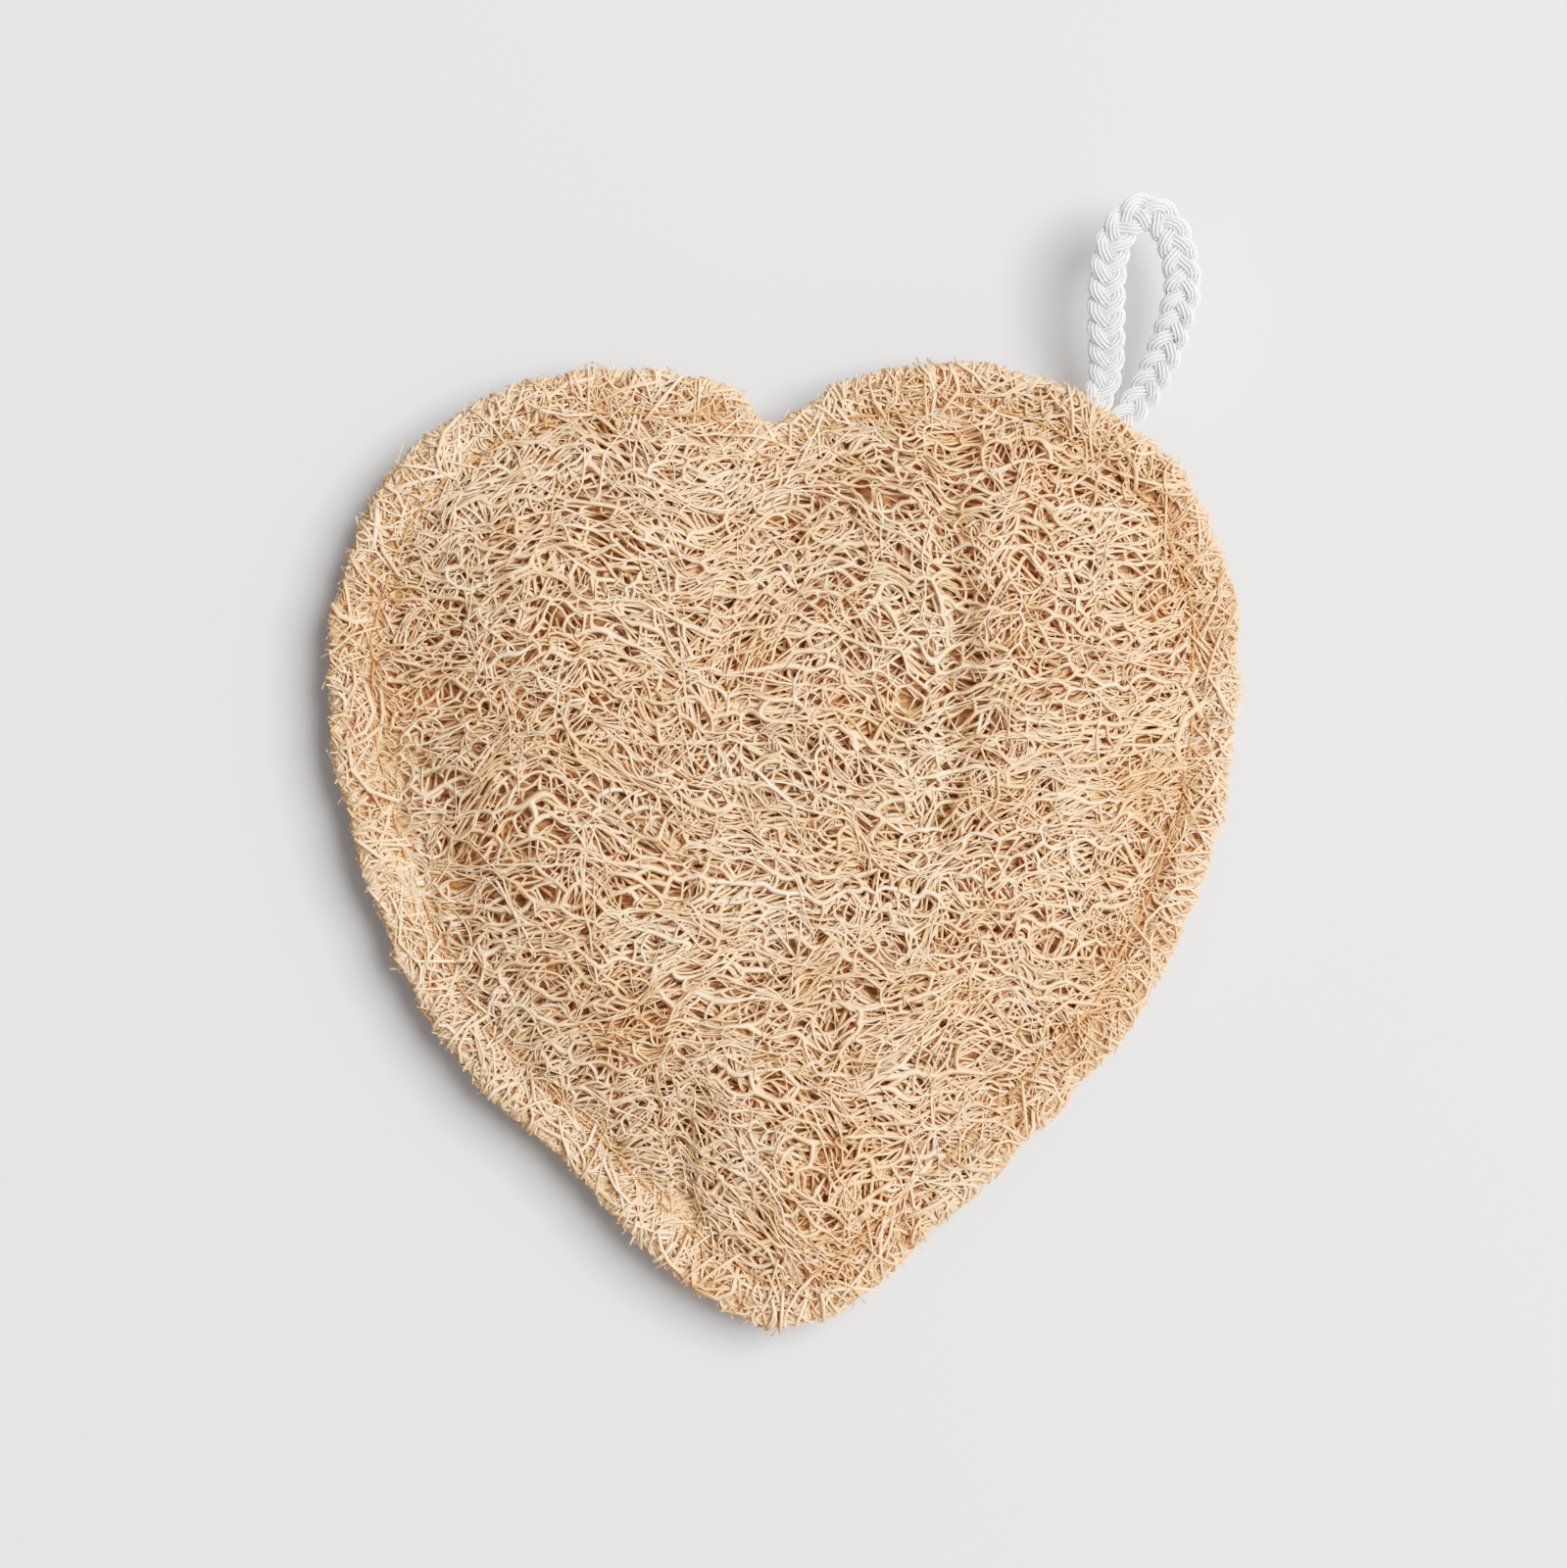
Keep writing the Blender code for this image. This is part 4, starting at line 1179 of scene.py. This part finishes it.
def wandering_plans(count, length, points, radius, turn, wobble, rise, seed, band=None):
    """Short wandering fibres that run mostly from side to side, over the sheet or a rim band."""
    chance = np.random.default_rng(seed)
    tries, deepest = (TRIES, np.inf) if band is None else (BAND_TRIES, band)
    starts = chance.uniform(FIELD_LOW, FIELD_HIGH, (count * tries, 2))
    reach = sample(edge_grid, starts)
    starts = starts[(reach < 0.0) & (reach > -deepest)][:count]
    plans = []
    for start in starts:
        way = chance.normal(0.0, turn) + np.pi * chance.integers(0, 2)
        heading = way + np.cumsum(chance.normal(0.0, wobble, points))
        step = chance.uniform(*length) / (points - 1)
        moves = np.stack([np.cos(heading), np.sin(heading)], axis=1) * step
        place = start + np.cumsum(moves, axis=0) - moves
        z = chance.uniform(*rise) * np.sin(np.linspace(0.0, chance.uniform(1.6, 3.0), points)) - 0.1
        wide = radius * np.exp(chance.normal(0.0, LOOSE_SPREAD)) * np.linspace(1.0, 0.75, points)
        plans.append(np.column_stack([place, z, wide]))
    return plans


def star_plans(count, arm, radius, seed, points=6):
    """Knots from which several tapering fibres spread out."""
    chance = np.random.default_rng(seed)
    starts = chance.uniform(FIELD_LOW, FIELD_HIGH, (count * TRIES, 2))
    starts = starts[sample(edge_grid, starts) < -KNOT_INSET][:count]
    t = np.linspace(0.0, 1.0, points)[:, None]
    plans = []
    for start in starts:
        many = chance.integers(4, 8)
        for ray in range(many):
            way = 2 * np.pi * (ray + chance.uniform(0.0, 0.7)) / many
            toward = np.array([math.cos(way) * KNOT_STRETCH, math.sin(way)])
            aside = np.array([-toward[1], toward[0]])
            reach = chance.uniform(*arm)
            place = start + toward * reach * t + aside * chance.normal(0.0, 0.16) * reach * t**2
            wide = radius * (1.0 - 0.5 * t[:, 0] ** 0.5) * math.exp(chance.normal(0.0, 0.15))
            plans.append(np.column_stack([place, 0.15 - 0.5 * t[:, 0] ** 2, wide]))
    return plans


# %% [markdown]
# ## The pressed border
# Outside the stitching the two sheets are pressed thin and cut through, so the border is packed
# with short ends that run across it at all slants. On the cut itself one sees the fibres end on.

# %% Fibres across the border
# The steepest slants in radians, and how much the fibres bow, lift, tilt and arch.
BORDER_SLANT = 1.25
BORDER_BOW = 0.22
BORDER_LIFT = 0.3
BORDER_TILT = 0.4
BORDER_ARCH = 0.25
CUT_END_SLANT = 1.2
CUT_END_TURN = 0.8
CUT_END_TILT = 0.25
CUT_SHORT = 0.08
# A fibre is planned to run this far past the cut, which then shortens it, and a slanting one gets
# no more than this on top of the straight way out.
BORDER_OVERRUN = 0.8
LONGEST_SLANT = 3.0
# No cut end lies nearer the middle plane than this, and each is rooted this far inside the cut.
LOWEST_END = 0.25
END_ROOT = 1.1
# A few cut ends are thin and stick out, many more of them where the rim is frayed.
STRAY_ENDS = 0.03
FRAYED_ENDS = 0.17
STRAY_REACH = (0.2, 1.3)
STRAY_WIDTH = 0.6


def slanting_out(normals, turn, steepest, chance):
    """A place on the cut edge, the way out there, a slanting way out, and its slant."""
    index = chance.integers(EDGE_RAYS)
    edge, away = edge_line[index], normals[index]
    along = np.array([-away[1], away[0]])
    slant = np.clip(chance.normal(0.0, turn), -steepest, steepest)
    return edge, away, away * math.cos(slant) + along * math.sin(slant), slant


def border_plans(count, depth, turn, radius, seed, points=5):
    """Fibres that start inside the border and run out across the cut edge."""
    chance = np.random.default_rng(seed)
    normals = outward(edge_line)
    t = np.linspace(0.0, 1.0, points)
    arch = np.sin(np.pi * t)
    plans = []
    for _ in range(count):
        edge, away, way, slant = slanting_out(normals, turn, BORDER_SLANT, chance)
        inside = chance.uniform(*depth)
        reach = min(inside / math.cos(slant), inside + LONGEST_SLANT) + BORDER_OVERRUN
        foot = edge - away * inside
        bow = chance.normal(0.0, BORDER_BOW) * reach
        aside = np.array([-way[1], way[0]])
        place = foot + way * reach * t[:, None] + aside * bow * arch[:, None]
        z = chance.normal(0.0, BORDER_LIFT) + chance.normal(0.0, BORDER_TILT) * (t - 0.5)
        z = z + BORDER_ARCH * arch
        wide = radius * np.exp(chance.normal(0.0, LOOSE_SPREAD)) * np.ones(points)
        plans.append(np.column_stack([place, z, wide]))
    return plans


def cut_end_fibres(count, sheet, radius, seed, extra=0.0):
    """Stubs that fill the cut edge of one sheet from the middle plane to its face."""
    grid, side, *_ = sheet
    chance = np.random.default_rng(seed)
    normals = outward(edge_line)
    fibres = []
    for _ in range(count):
        edge, away, way, slant = slanting_out(normals, CUT_END_TURN, CUT_END_SLANT, chance)
        past = chance.normal(-CUT_SHORT, CUT_ERROR) + extra * left_side(edge) + waves(edge, *RIM_WAVE)
        wide = radius * np.exp(chance.normal(0.0, LOOSE_SPREAD))
        if chance.random() < STRAY_ENDS + FRAYED_ENDS * frayed(edge):
            past += chance.uniform(*STRAY_REACH)
            wide *= STRAY_WIDTH
        top = sample(grid, edge)
        height = chance.uniform(LOWEST_END, top - RIM_DROOP - 0.1)
        tilt = chance.normal(0.0, CUT_END_TILT)
        root = (max(past, 0.0) + END_ROOT) / math.cos(slant)
        backs = np.array([root, 0.0])
        plan = edge + away * past - way * backs[:, None]
        lift = np.clip(height - tilt * backs / root, LOWEST_END, top)
        fibres.append((np.column_stack([plan, MIDDLE + side * lift]), np.full(2, wide)))
    return fibres


# %% [markdown]
# ### Dried loofah fibre
# Loofah vessels are cellulose, dried to a pale cream with a matt, slightly waxy surface. No two
# strands are quite the same colour, so each one takes its own shade, and broad patches of the pad
# are tanner, most of all towards its right side. Fine grain runs along each strand. Deeper fibres
# are painted tanner and the imported inner ones brown, as painted shade for the depth they lie at,
# warmed the way light is as it passes between pale fibres.

# %% Loofah fibre material
def loofah_fibre(name, shades, patch_shade, roughness=0.62):
    """Dried loofah: a shade for each strand, broad patches, and grain along the strand."""
    material, shader = bare_material(name)
    links = material.node_tree.links
    strand = add_node(material, "ShaderNodeAttribute", {"attribute_name": "shade"})
    shade = add_node(material, "ShaderNodeValToRGB", None, {"Fac": strand.outputs["Fac"]})
    ramp_stops(shade, shades)
    place = add_node(material, "ShaderNodeTexCoord")
    patches = add_node(material, "ShaderNodeTexNoise", {"Scale": 70.0, "Detail": 2.0},
                       {"Vector": place.outputs["Object"]})
    parts = add_node(material, "ShaderNodeSeparateXYZ", None, {"Vector": place.outputs["Object"]})
    sunned = add_node(material, "ShaderNodeMath", {"operation": "MULTIPLY_ADD"},
                      {0: parts.outputs["X"]})
    sunned.inputs[1].default_value = 1.2
    links.new(patches.outputs["Fac"], sunned.inputs[2])
    spread = add_node(material, "ShaderNodeMapRange",
                      {"From Min": 0.35, "From Max": 0.75, "To Max": 0.5},
                      {"Value": sunned.outputs["Value"]})
    toned = add_node(material, "ShaderNodeMix", {"data_type": "RGBA", "blend_type": "MULTIPLY"})
    toned.inputs[7].default_value = linear(patch_shade)
    links.new(spread.outputs["Result"], toned.inputs[0])
    links.new(shade.outputs["Color"], toned.inputs[6])
    uv = add_node(material, "ShaderNodeUVMap", {"uv_map": "fibre"})
    stretched = add_node(material, "ShaderNodeMapping", {"Scale": (5.0, 0.8, 1.0)},
                         {"Vector": uv.outputs["UV"]})
    grain = add_node(material, "ShaderNodeTexNoise", {"Scale": 1.5, "Detail": 3.0},
                     {"Vector": stretched.outputs["Vector"]})
    streak = add_node(material, "ShaderNodeMapRange",
                      {"From Min": 0.3, "From Max": 0.7, "To Min": 0.9, "To Max": 1.05},
                      {"Value": grain.outputs["Fac"]})
    streaked = add_node(material, "ShaderNodeVectorMath", {"operation": "SCALE"})
    links.new(toned.outputs[2], streaked.inputs[0])
    links.new(streak.outputs["Result"], streaked.inputs["Scale"])
    bump = add_node(material, "ShaderNodeBump", {"Strength": 0.45, "Distance": 0.00006},
                    {"Height": grain.outputs["Fac"]})
    links.new(streaked.outputs["Vector"], shader.inputs["Base Color"])
    links.new(bump.outputs["Normal"], shader.inputs["Normal"])
    shader.inputs["Roughness"].default_value = roughness
    shader.inputs["IOR"].default_value = 1.5
    return material


surface_fibre = loofah_fibre(
    "sun_dried_loofah_strand",
    ((0.0, "#EABF90"), (0.35, "#F1CB9F"), (0.7, "#F7D4AB"), (1.0, "#FCDEBC")), "#F8D2A8")
# Tanner than the surface strands: painted shade and painted warm bounced light for the lower layers.
under_fibre = loofah_fibre(
    "inner_loofah_fibre",
    ((0.0, "#E4B37F"), (0.4, "#ECC092"), (0.75, "#F2CCA3"), (1.0, "#F7D7B4")), "#F2C595")
# Tanner still: painted shade for the deepest fillings.
deep_fibre = loofah_fibre(
    "deep_loofah_fibre_painted_shade",
    ((0.0, "#E0A36A"), (0.5, "#E8B07B"), (1.0, "#EFBF92")), "#EDB985", roughness=0.75)
hair_fibre = loofah_fibre(
    "fine_loofah_hair",
    ((0.0, "#F0D2AE"), (0.6, "#F7DEC2"), (1.0, "#FCE7D4")), "#F7D9B8")

# %% [markdown]
# ## Packed inner fibres
# Between the strands one sees down into the tightly packed middle of the sheet, deep in shade.
# Building every fibre down to there would only cost time, so a soft fibrous body closes the view a
# few millimetres down, painted brown with dark gaps as painted shade for that depth. It is a heart
# of rings round the middle, lifted to lie under the fibres.

# %% Packed middle
BODY_RINGS = 34
BODY_SPOKES = 240
BODY_INSET = 0.9
# Under 1, the rings crowd towards the rim.
RING_SPACING = 0.8
BODY_ROUGHNESS = (0.25, 5.0, 31)
# It lies deeper where the net is open, but keeps a share of the sheet's height, and sinks with it.
DEEPER_IF_OPEN = 1.5
DEEPEST_SHARE = 0.75
BODY_SINK = 0.8
BODY_LOWEST = 0.3
BODY_FLOOR = 0.2


def packed_body(name, sheet, depth):
    """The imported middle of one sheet, a closed form under its fibres."""
    grid, side, *_ = sheet
    every = EDGE_RAYS // BODY_SPOKES
    rim = edge_line[::every] - outward(edge_line)[::every] * BODY_INSET
    share = np.linspace(0.0, 1.0, BODY_RINGS + 1)[1:] ** RING_SPACING
    top = (rim[None, :, :] * share[:, None, None]).reshape(-1, 2)
    full = sample(grid, top)
    under = np.minimum(depth + DEEPER_IF_OPEN * openness(top), full * DEEPEST_SHARE)
    height = full - under - drawn_down(top) * BODY_SINK + waves(top, *BODY_ROUGHNESS)
    height = np.maximum(height, BODY_LOWEST)
    centre = np.array([[0.0, 0.0, sample(grid, np.zeros((1, 2)))[0] - depth]])
    upper = np.vstack([centre, np.column_stack([top, height])])
    lower = np.column_stack([rim, np.full(len(rim), BODY_FLOOR)])
    middle = np.array([[0.0, 0.0, BODY_FLOOR]])
    places = np.vstack([upper, lower, middle])
    places[:, 2] = MIDDLE + side * places[:, 2]
    spoke = np.arange(BODY_SPOKES)
    after = (spoke + 1) % BODY_SPOKES
    fans, bands = [], []
    fans.append(np.stack([np.zeros_like(spoke), 1 + spoke, 1 + after], axis=1))
    for ring in range(BODY_RINGS):
        inner = 1 + ring * BODY_SPOKES
        outer = inner + BODY_SPOKES
        bands.append(np.stack([inner + spoke, outer + spoke, outer + after, inner + after], axis=1))
    last = len(places) - 1
    foot = last - BODY_SPOKES
    fans.append(np.stack([np.full_like(spoke, last), foot + after, foot + spoke], axis=1))
    faces = [np.concatenate(fans), np.concatenate(bands)]
    if side < 0:
        faces = [block[:, ::-1] for block in faces]
    return filled_mesh(name, places, faces)


def packed_fibre():
    """Packed inner fibre in painted shade: tan streaks over dark brown gaps, a millimetre apart."""
    material, shader = bare_material("packed_loofah_painted_shade")
    place = add_node(material, "ShaderNodeTexCoord")
    lengthwise = add_node(material, "ShaderNodeMapping", {"Scale": (420.0, 1300.0, 900.0)},
                          {"Vector": place.outputs["Object"]})
    strands = add_node(material, "ShaderNodeTexNoise", {"Scale": 1.0, "Detail": 4.0, "Distortion": 0.6},
                       {"Vector": lengthwise.outputs["Vector"]})
    tone = add_node(material, "ShaderNodeValToRGB", None, {"Fac": strands.outputs["Fac"]})
    # Painted shade: dark brown in the gaps and tan on the streaks, for fibres deep in the sheet.
    ramp_stops(tone, ((0.36, "#744520"), (0.5, "#AC7642"), (0.66, "#CE9C66")))
    bump = add_node(material, "ShaderNodeBump", {"Strength": 0.9, "Distance": 0.0005},
                    {"Height": strands.outputs["Fac"]})
    links = material.node_tree.links
    links.new(tone.outputs["Color"], shader.inputs["Base Color"])
    links.new(bump.outputs["Normal"], shader.inputs["Normal"])
    shader.inputs["Roughness"].default_value = 0.8
    return material


def settle_on(sheet, made, material):
    """Settles a piece as part of a sheet."""
    *_, slot, solid = sheet
    return settle(made, material, slot, solid)


painted_shade_packing = packed_fibre()
front_body = settle_on(FRONT, packed_body("front_packed_fibre", FRONT, 2.0), painted_shade_packing)
back_body = settle_on(BACK, packed_body("back_packed_fibre", BACK, 2.9), painted_shade_packing)

# %% [markdown]
# ## Front sheet
# From the top down: a bold webbed net and a finer one, rows of fine fibres that fill the openings,
# then two more nets and a filling between them, and a last tan filling that closes most of the
# view. Loose fibres lie over all of it, and the border is laid round it.

# %% Front strands
def layer(name, sheet, plans, level, seed, sides, material, **laying):
    """Lays planned fibres on a sheet as one piece."""
    fibres = lay_down(plans, level, sheet, seed, **laying)
    return settle_on(sheet, tube_mesh(name, fibres, sides), material)


front_bold = webbed_net("front_bold_net", FRONT, 101, opening=2.8, stretch=1.7, radius=0.235,
                        web=0.55, sway=0.35, level=0.25, steps=4, turn=-0.12, sag=0.3)
settle_on(FRONT, front_bold, surface_fibre)
front_main = webbed_net("front_main_net", FRONT, 111, opening=2.4, stretch=1.55, radius=0.2,
                        web=0.5, sway=0.35, level=0.0, turn=0.45, sag=0.8)
settle_on(FRONT, front_main, surface_fibre)

# %% Front filling
top_fill = filling(4.6, 1.4, 0.88, 0.85, 0.5, 0.215, 121)
layer("front_filling", FRONT, top_fill, -0.1, 123, 3, surface_fibre, sag=1.0)
second, _ = net_plans(2.4, 1.55, 0.8, 0.235, 0.3, 131, step=1.05, turn=-0.45)
layer("front_second_net", FRONT, second, -0.45, 132, 3, surface_fibre, sag=1.2)

# %% Front under layers
low_fill = filling(4.2, 1.4, 0.95, 0.95, 0.5, 0.26, 141)
layer("front_under_filling", FRONT, low_fill, -0.75, 143, 3, under_fibre, sag=1.4)
third, _ = net_plans(2.6, 1.6, 0.8, 0.265, 0.3, 151, step=1.6, turn=0.3)
layer("front_third_net", FRONT, third, -1.2, 152, 3, under_fibre, sag=1.4)
deep_fill = filling(4.8, 1.4, 1.1, 1.0, 0.6, 0.3, 161, points=4, left_open=0.4)
layer("front_deep_filling", FRONT, deep_fill, -1.5, 163, 3, deep_fibre, sag=1.2)

# %% Front loose fibres
rambling = wandering_plans(420, (5.0, 15.0), 9, 0.14, 0.9, 0.14, (0.0, 0.4), 165)
rambling += star_plans(40, (2.0, 5.5), 0.23, 168)
layer("front_rambling_strands", FRONT, rambling, 0.3, 166, 4, surface_fibre)
broken = wandering_plans(1400, (1.5, 4.5), 4, 0.15, 1.0, 0.4, (0.1, 0.6), 171)
layer("front_broken_ends", FRONT, broken, 0.25, 172, 3, surface_fibre)
hairs = wandering_plans(300, (4.0, 9.0), 7, 0.075, 0.6, 0.35, (0.1, 0.5), 181)
layer("front_fine_hairs", FRONT, hairs, 0.45, 182, 3, hair_fibre)

# %% Front border
across = border_plans(620, (1.5, 7.0), 0.95, 0.22, 191, points=4)
layer("front_border_fibres", FRONT, across, 0.1, 192, 4, surface_fibre,
      bend=False, overhang=0.1, stray=3.5)
scraps = wandering_plans(1150, (1.8, 5.0), 5, 0.2, 2.0, 0.5, (0.0, 0.5), 195, band=6.6)
layer("front_border_scraps", FRONT, scraps, 0.05, 196, 3, surface_fibre, bend=False, stray=2.0)
below = border_plans(800, (2.0, 7.0), 0.7, 0.24, 201)
layer("front_border_under", FRONT, below, -1.15, 202, 3, under_fibre, bend=False)
front_ends = cut_end_fibres(2300, FRONT, 0.21, 211)
settle_on(FRONT, tube_mesh("front_cut_ends", front_ends, 4), surface_fibre)

# %% [markdown]
# ## Back sheet
# The back is a coarser piece of loofah, facing down: a webbed net, a second net, two fillings and a
# border. Loose fibres would be hidden by the table, so there are none. Its cut edge peeks out past
# the front one along the left side, where the two hearts were not cut quite alike.

# %% Back layers
LEFT_PEEK = 0.35

back_bold = webbed_net("back_bold_net", BACK, 301, opening=3.2, stretch=1.7, radius=0.26,
                       web=0.55, sway=0.35, level=-0.4, steps=4, turn=0.15, sag=0.3)
settle_on(BACK, back_bold, surface_fibre)
back_main, _ = net_plans(2.6, 1.6, 0.88, 0.26, 0.3, 311, step=1.4, turn=-0.45)
layer("back_main_net", BACK, back_main, -0.5, 312, 4, surface_fibre, wide=LEFT_PEEK)
back_fill = filling(4.8, 1.4, 0.8, 0.9, 0.5, 0.23, 321, points=4)
layer("back_filling", BACK, back_fill, -0.9, 323, 3, under_fibre, wide=LEFT_PEEK)
back_deep = filling(5.2, 1.3, 0.85, 1.0, 0.6, 0.32, 331, points=4, left_open=0.4)
layer("back_deep_filling", BACK, back_deep, -1.6, 333, 3, deep_fibre, wide=LEFT_PEEK)
back_across = border_plans(1100, (2.5, 7.5), 0.55, 0.28, 341, points=4)
layer("back_border_fibres", BACK, back_across, 0.0, 342, 3, surface_fibre,
      bend=False, wide=LEFT_PEEK)
back_ends = cut_end_fibres(2000, BACK, 0.22, 351, extra=LEFT_PEEK)
settle_on(BACK, tube_mesh("back_cut_ends", back_ends, 4), surface_fibre)

# %% [markdown]
# ## Stitches
# The hearts are joined by a line of plain stitches in ochre thread, about 4 mm apart. Each stitch
# is pulled down between the fibres, so only parts of it show. The thread is two plies twisted
# together, which gives its slanted gleam.

# %% Ochre thread
STITCH_PITCH = 4.0
STITCH_POINTS = 11
STITCH_DIP = 1.3
STITCH_BOW = 0.15
STITCH_UNEVEN = 0.12
PLY_RADIUS = 0.12
PLY_OFFSET = PLY_RADIUS * 0.85
PLY_TWIST = 1.3


def closed_evenly(line, step):
    """Points round a closed line at an even spacing near step."""
    ring = np.vstack([line, line[:1]])
    run = np.concatenate([[0.0], np.cumsum(np.linalg.norm(np.diff(ring, axis=0), axis=1))])
    places = np.linspace(0.0, run[-1], round(run[-1] / step), endpoint=False)
    return np.stack([np.interp(places, run, column) for column in ring.T], axis=1)


def stitch_fibres(sheet, level, seed):
    """Two-ply stitches along the seam, each dipping into its needle holes."""
    grid, side, *_ = sheet
    chance = np.random.default_rng(seed)
    holes = closed_evenly(seam_line, STITCH_PITCH)
    t = np.linspace(0.0, 1.0, STITCH_POINTS)
    arch = np.sin(np.pi * t)
    fibres = []
    for start, end in zip(holes, np.roll(holes, -1, axis=0)):
        aside = np.array([start[1] - end[1], end[0] - start[0]]) / np.linalg.norm(end - start)
        bow = aside * chance.normal(0.0, STITCH_BOW) * arch[:, None]
        plan = start + (end - start) * t[:, None] + bow
        dip = STITCH_DIP * (1.0 - arch ** 0.35)
        height = sample(grid, plan) - drawn_down(plan) + level + chance.normal(0.0, STITCH_UNEVEN) - dip
        turn = 2 * np.pi * t * STITCH_PITCH / PLY_TWIST
        for ply in (0.0, np.pi):
            place = plan + aside * (PLY_OFFSET * np.cos(turn + ply))[:, None]
            lift = height + PLY_OFFSET * np.sin(turn + ply)
            z = MIDDLE + side * np.maximum(lift, 0.2)
            fibres.append((np.column_stack([place, z]), np.full(STITCH_POINTS, PLY_RADIUS)))
    return fibres


def ochre_thread():
    """Spun ochre sewing thread, matt, with fine fibres along each ply."""
    material, shader = bare_material("spun_ochre_thread")
    uv = add_node(material, "ShaderNodeUVMap", {"uv_map": "fibre"})
    fine = add_node(material, "ShaderNodeTexNoise", {"Scale": 4.0, "Detail": 2.0},
                    {"Vector": uv.outputs["UV"]})
    tone = add_node(material, "ShaderNodeValToRGB", None, {"Fac": fine.outputs["Fac"]})
    ramp_stops(tone, ((0.3, "#C67F42"), (0.7, "#DD9D63")))
    links = material.node_tree.links
    links.new(tone.outputs["Color"], shader.inputs["Base Color"])
    shader.inputs["Roughness"].default_value = 0.65
    shader.inputs["Sheen Weight"].default_value = 0.15
    return material


thread_material = ochre_thread()
top_stitches = tube_mesh("top_stitches", stitch_fibres(FRONT, 0.85, 401), 4, flat=1.0)
settle(top_stitches, thread_material, "seam_thread", "seam_top_thread")
under_stitches = tube_mesh("under_stitches", stitch_fibres(BACK, 0.2, 402), 4, flat=1.0)
settle(under_stitches, thread_material, "seam_thread", "seam_under_thread")

# %% [markdown]
# ## Floor and light
# A plain pale sweep and one large soft light from the upper right, as in the picture.

# %% Floor
def floor_material():
    """Matt pale paper with a very fine tooth."""
    material, shader = bare_material("pale_paper_sweep")
    place = add_node(material, "ShaderNodeTexCoord")
    tooth = add_node(material, "ShaderNodeTexNoise", {"Scale": 600.0, "Detail": 2.0},
                     {"Vector": place.outputs["Object"]})
    bump = add_node(material, "ShaderNodeBump", {"Strength": 0.1, "Distance": 0.0001},
                    {"Height": tooth.outputs["Fac"]})
    material.node_tree.links.new(bump.outputs["Normal"], shader.inputs["Normal"])
    shader.inputs["Base Color"].default_value = linear("#D2D2D2")
    shader.inputs["Roughness"].default_value = 0.9
    return material


bpy.ops.mesh.primitive_plane_add(size=6.0, location=(0.0, 0.0, 0.0))
floor = bpy.context.active_object
floor.name = "paper_sweep"
floor.data.materials.append(floor_material())
floor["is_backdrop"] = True

# %% Window light
KEY_DISTANCE = 2.2
KEY_AZIMUTH = math.radians(20.0)
KEY_ELEVATION = math.radians(61.0)
KEY_SIZE = 1.4
KEY_POWER = 68.0

level_share = math.cos(KEY_ELEVATION)
key_way = Vector((level_share * math.cos(KEY_AZIMUTH), level_share * math.sin(KEY_AZIMUTH),
                  math.sin(KEY_ELEVATION)))
window = bpy.data.lights.new("window_light", "AREA")
window.shape = "DISK"
window.size = KEY_SIZE
window.energy = KEY_POWER
lamp = bpy.data.objects.new("window_light", window)
lamp.location = KEY_DISTANCE * key_way
lamp.rotation_euler = (-lamp.location).to_track_quat("-Z", "Y").to_euler()
bpy.context.scene.collection.objects.link(lamp)
print("window light, m:", [round(v, 2) for v in lamp.location])

# %% [markdown]
# The rest of the room is pale too, but brighter on the window's side, so the far flank of the pad
# turns gently darker and the floor under the left rim is deep in shade.

# %% Pale room
ROOM_STRENGTH = 0.5
ROOM_SIDE = 1.0

world = bpy.data.worlds.new("pale_room")
world.use_nodes = True
room = world.node_tree.nodes["Background"]
way = add_node(world, "ShaderNodeTexCoord")
parts = add_node(world, "ShaderNodeSeparateXYZ", None, {"Vector": way.outputs["Generated"]})
side_light = add_node(world, "ShaderNodeMapRange",
                      {"From Min": -1.0, "From Max": 1.0, "To Min": ROOM_STRENGTH * (1 - ROOM_SIDE),
                       "To Max": ROOM_STRENGTH * (1 + ROOM_SIDE)}, {"Value": parts.outputs["X"]})
room.inputs["Color"].default_value = linear("#FBFBFB")
world.node_tree.links.new(side_light.outputs["Result"], room.inputs["Strength"])
bpy.context.scene.world = world

# %% [markdown]
# Light that gets in between pale fibres is passed on many times before it comes out again, warmer
# each time. Four passes, the usual limit, would leave the gaps too dark and grey, so it gets eight.

# %% Light between the fibres
bpy.context.scene.cycles.diffuse_bounces = 8

# %% [markdown]
# A camera doesn't record light in a straight line: it lifts the shadows a little and rolls off the
# highlights, so white cotton beside a lit floor still shows its yarns. A curve on the linear light,
# before the plain Standard view, does the same.

# %% The camera's response
RESPONSE_WHITE = 1.8
RESPONSE = (
    (0.15, 0.185), (0.28, 0.335), (0.46, 0.505), (0.66, 0.62), (0.82, 0.70), (1.0, 0.785), (1.3, 0.89),
)

view = bpy.context.scene.view_settings
view.view_transform = "Standard"
view.use_curve_mapping = True
view.curve_mapping.white_level = (RESPONSE_WHITE, RESPONSE_WHITE, RESPONSE_WHITE)
shoulder = view.curve_mapping.curves[3]
for light, tone in RESPONSE:
    shoulder.points.new(light / RESPONSE_WHITE, tone)
view.curve_mapping.update()

# %% Sizes, and finish
made_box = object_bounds()
print("dressed, mm:", [round(v * 1000, 1) for v in made_box[1] - made_box[0]])
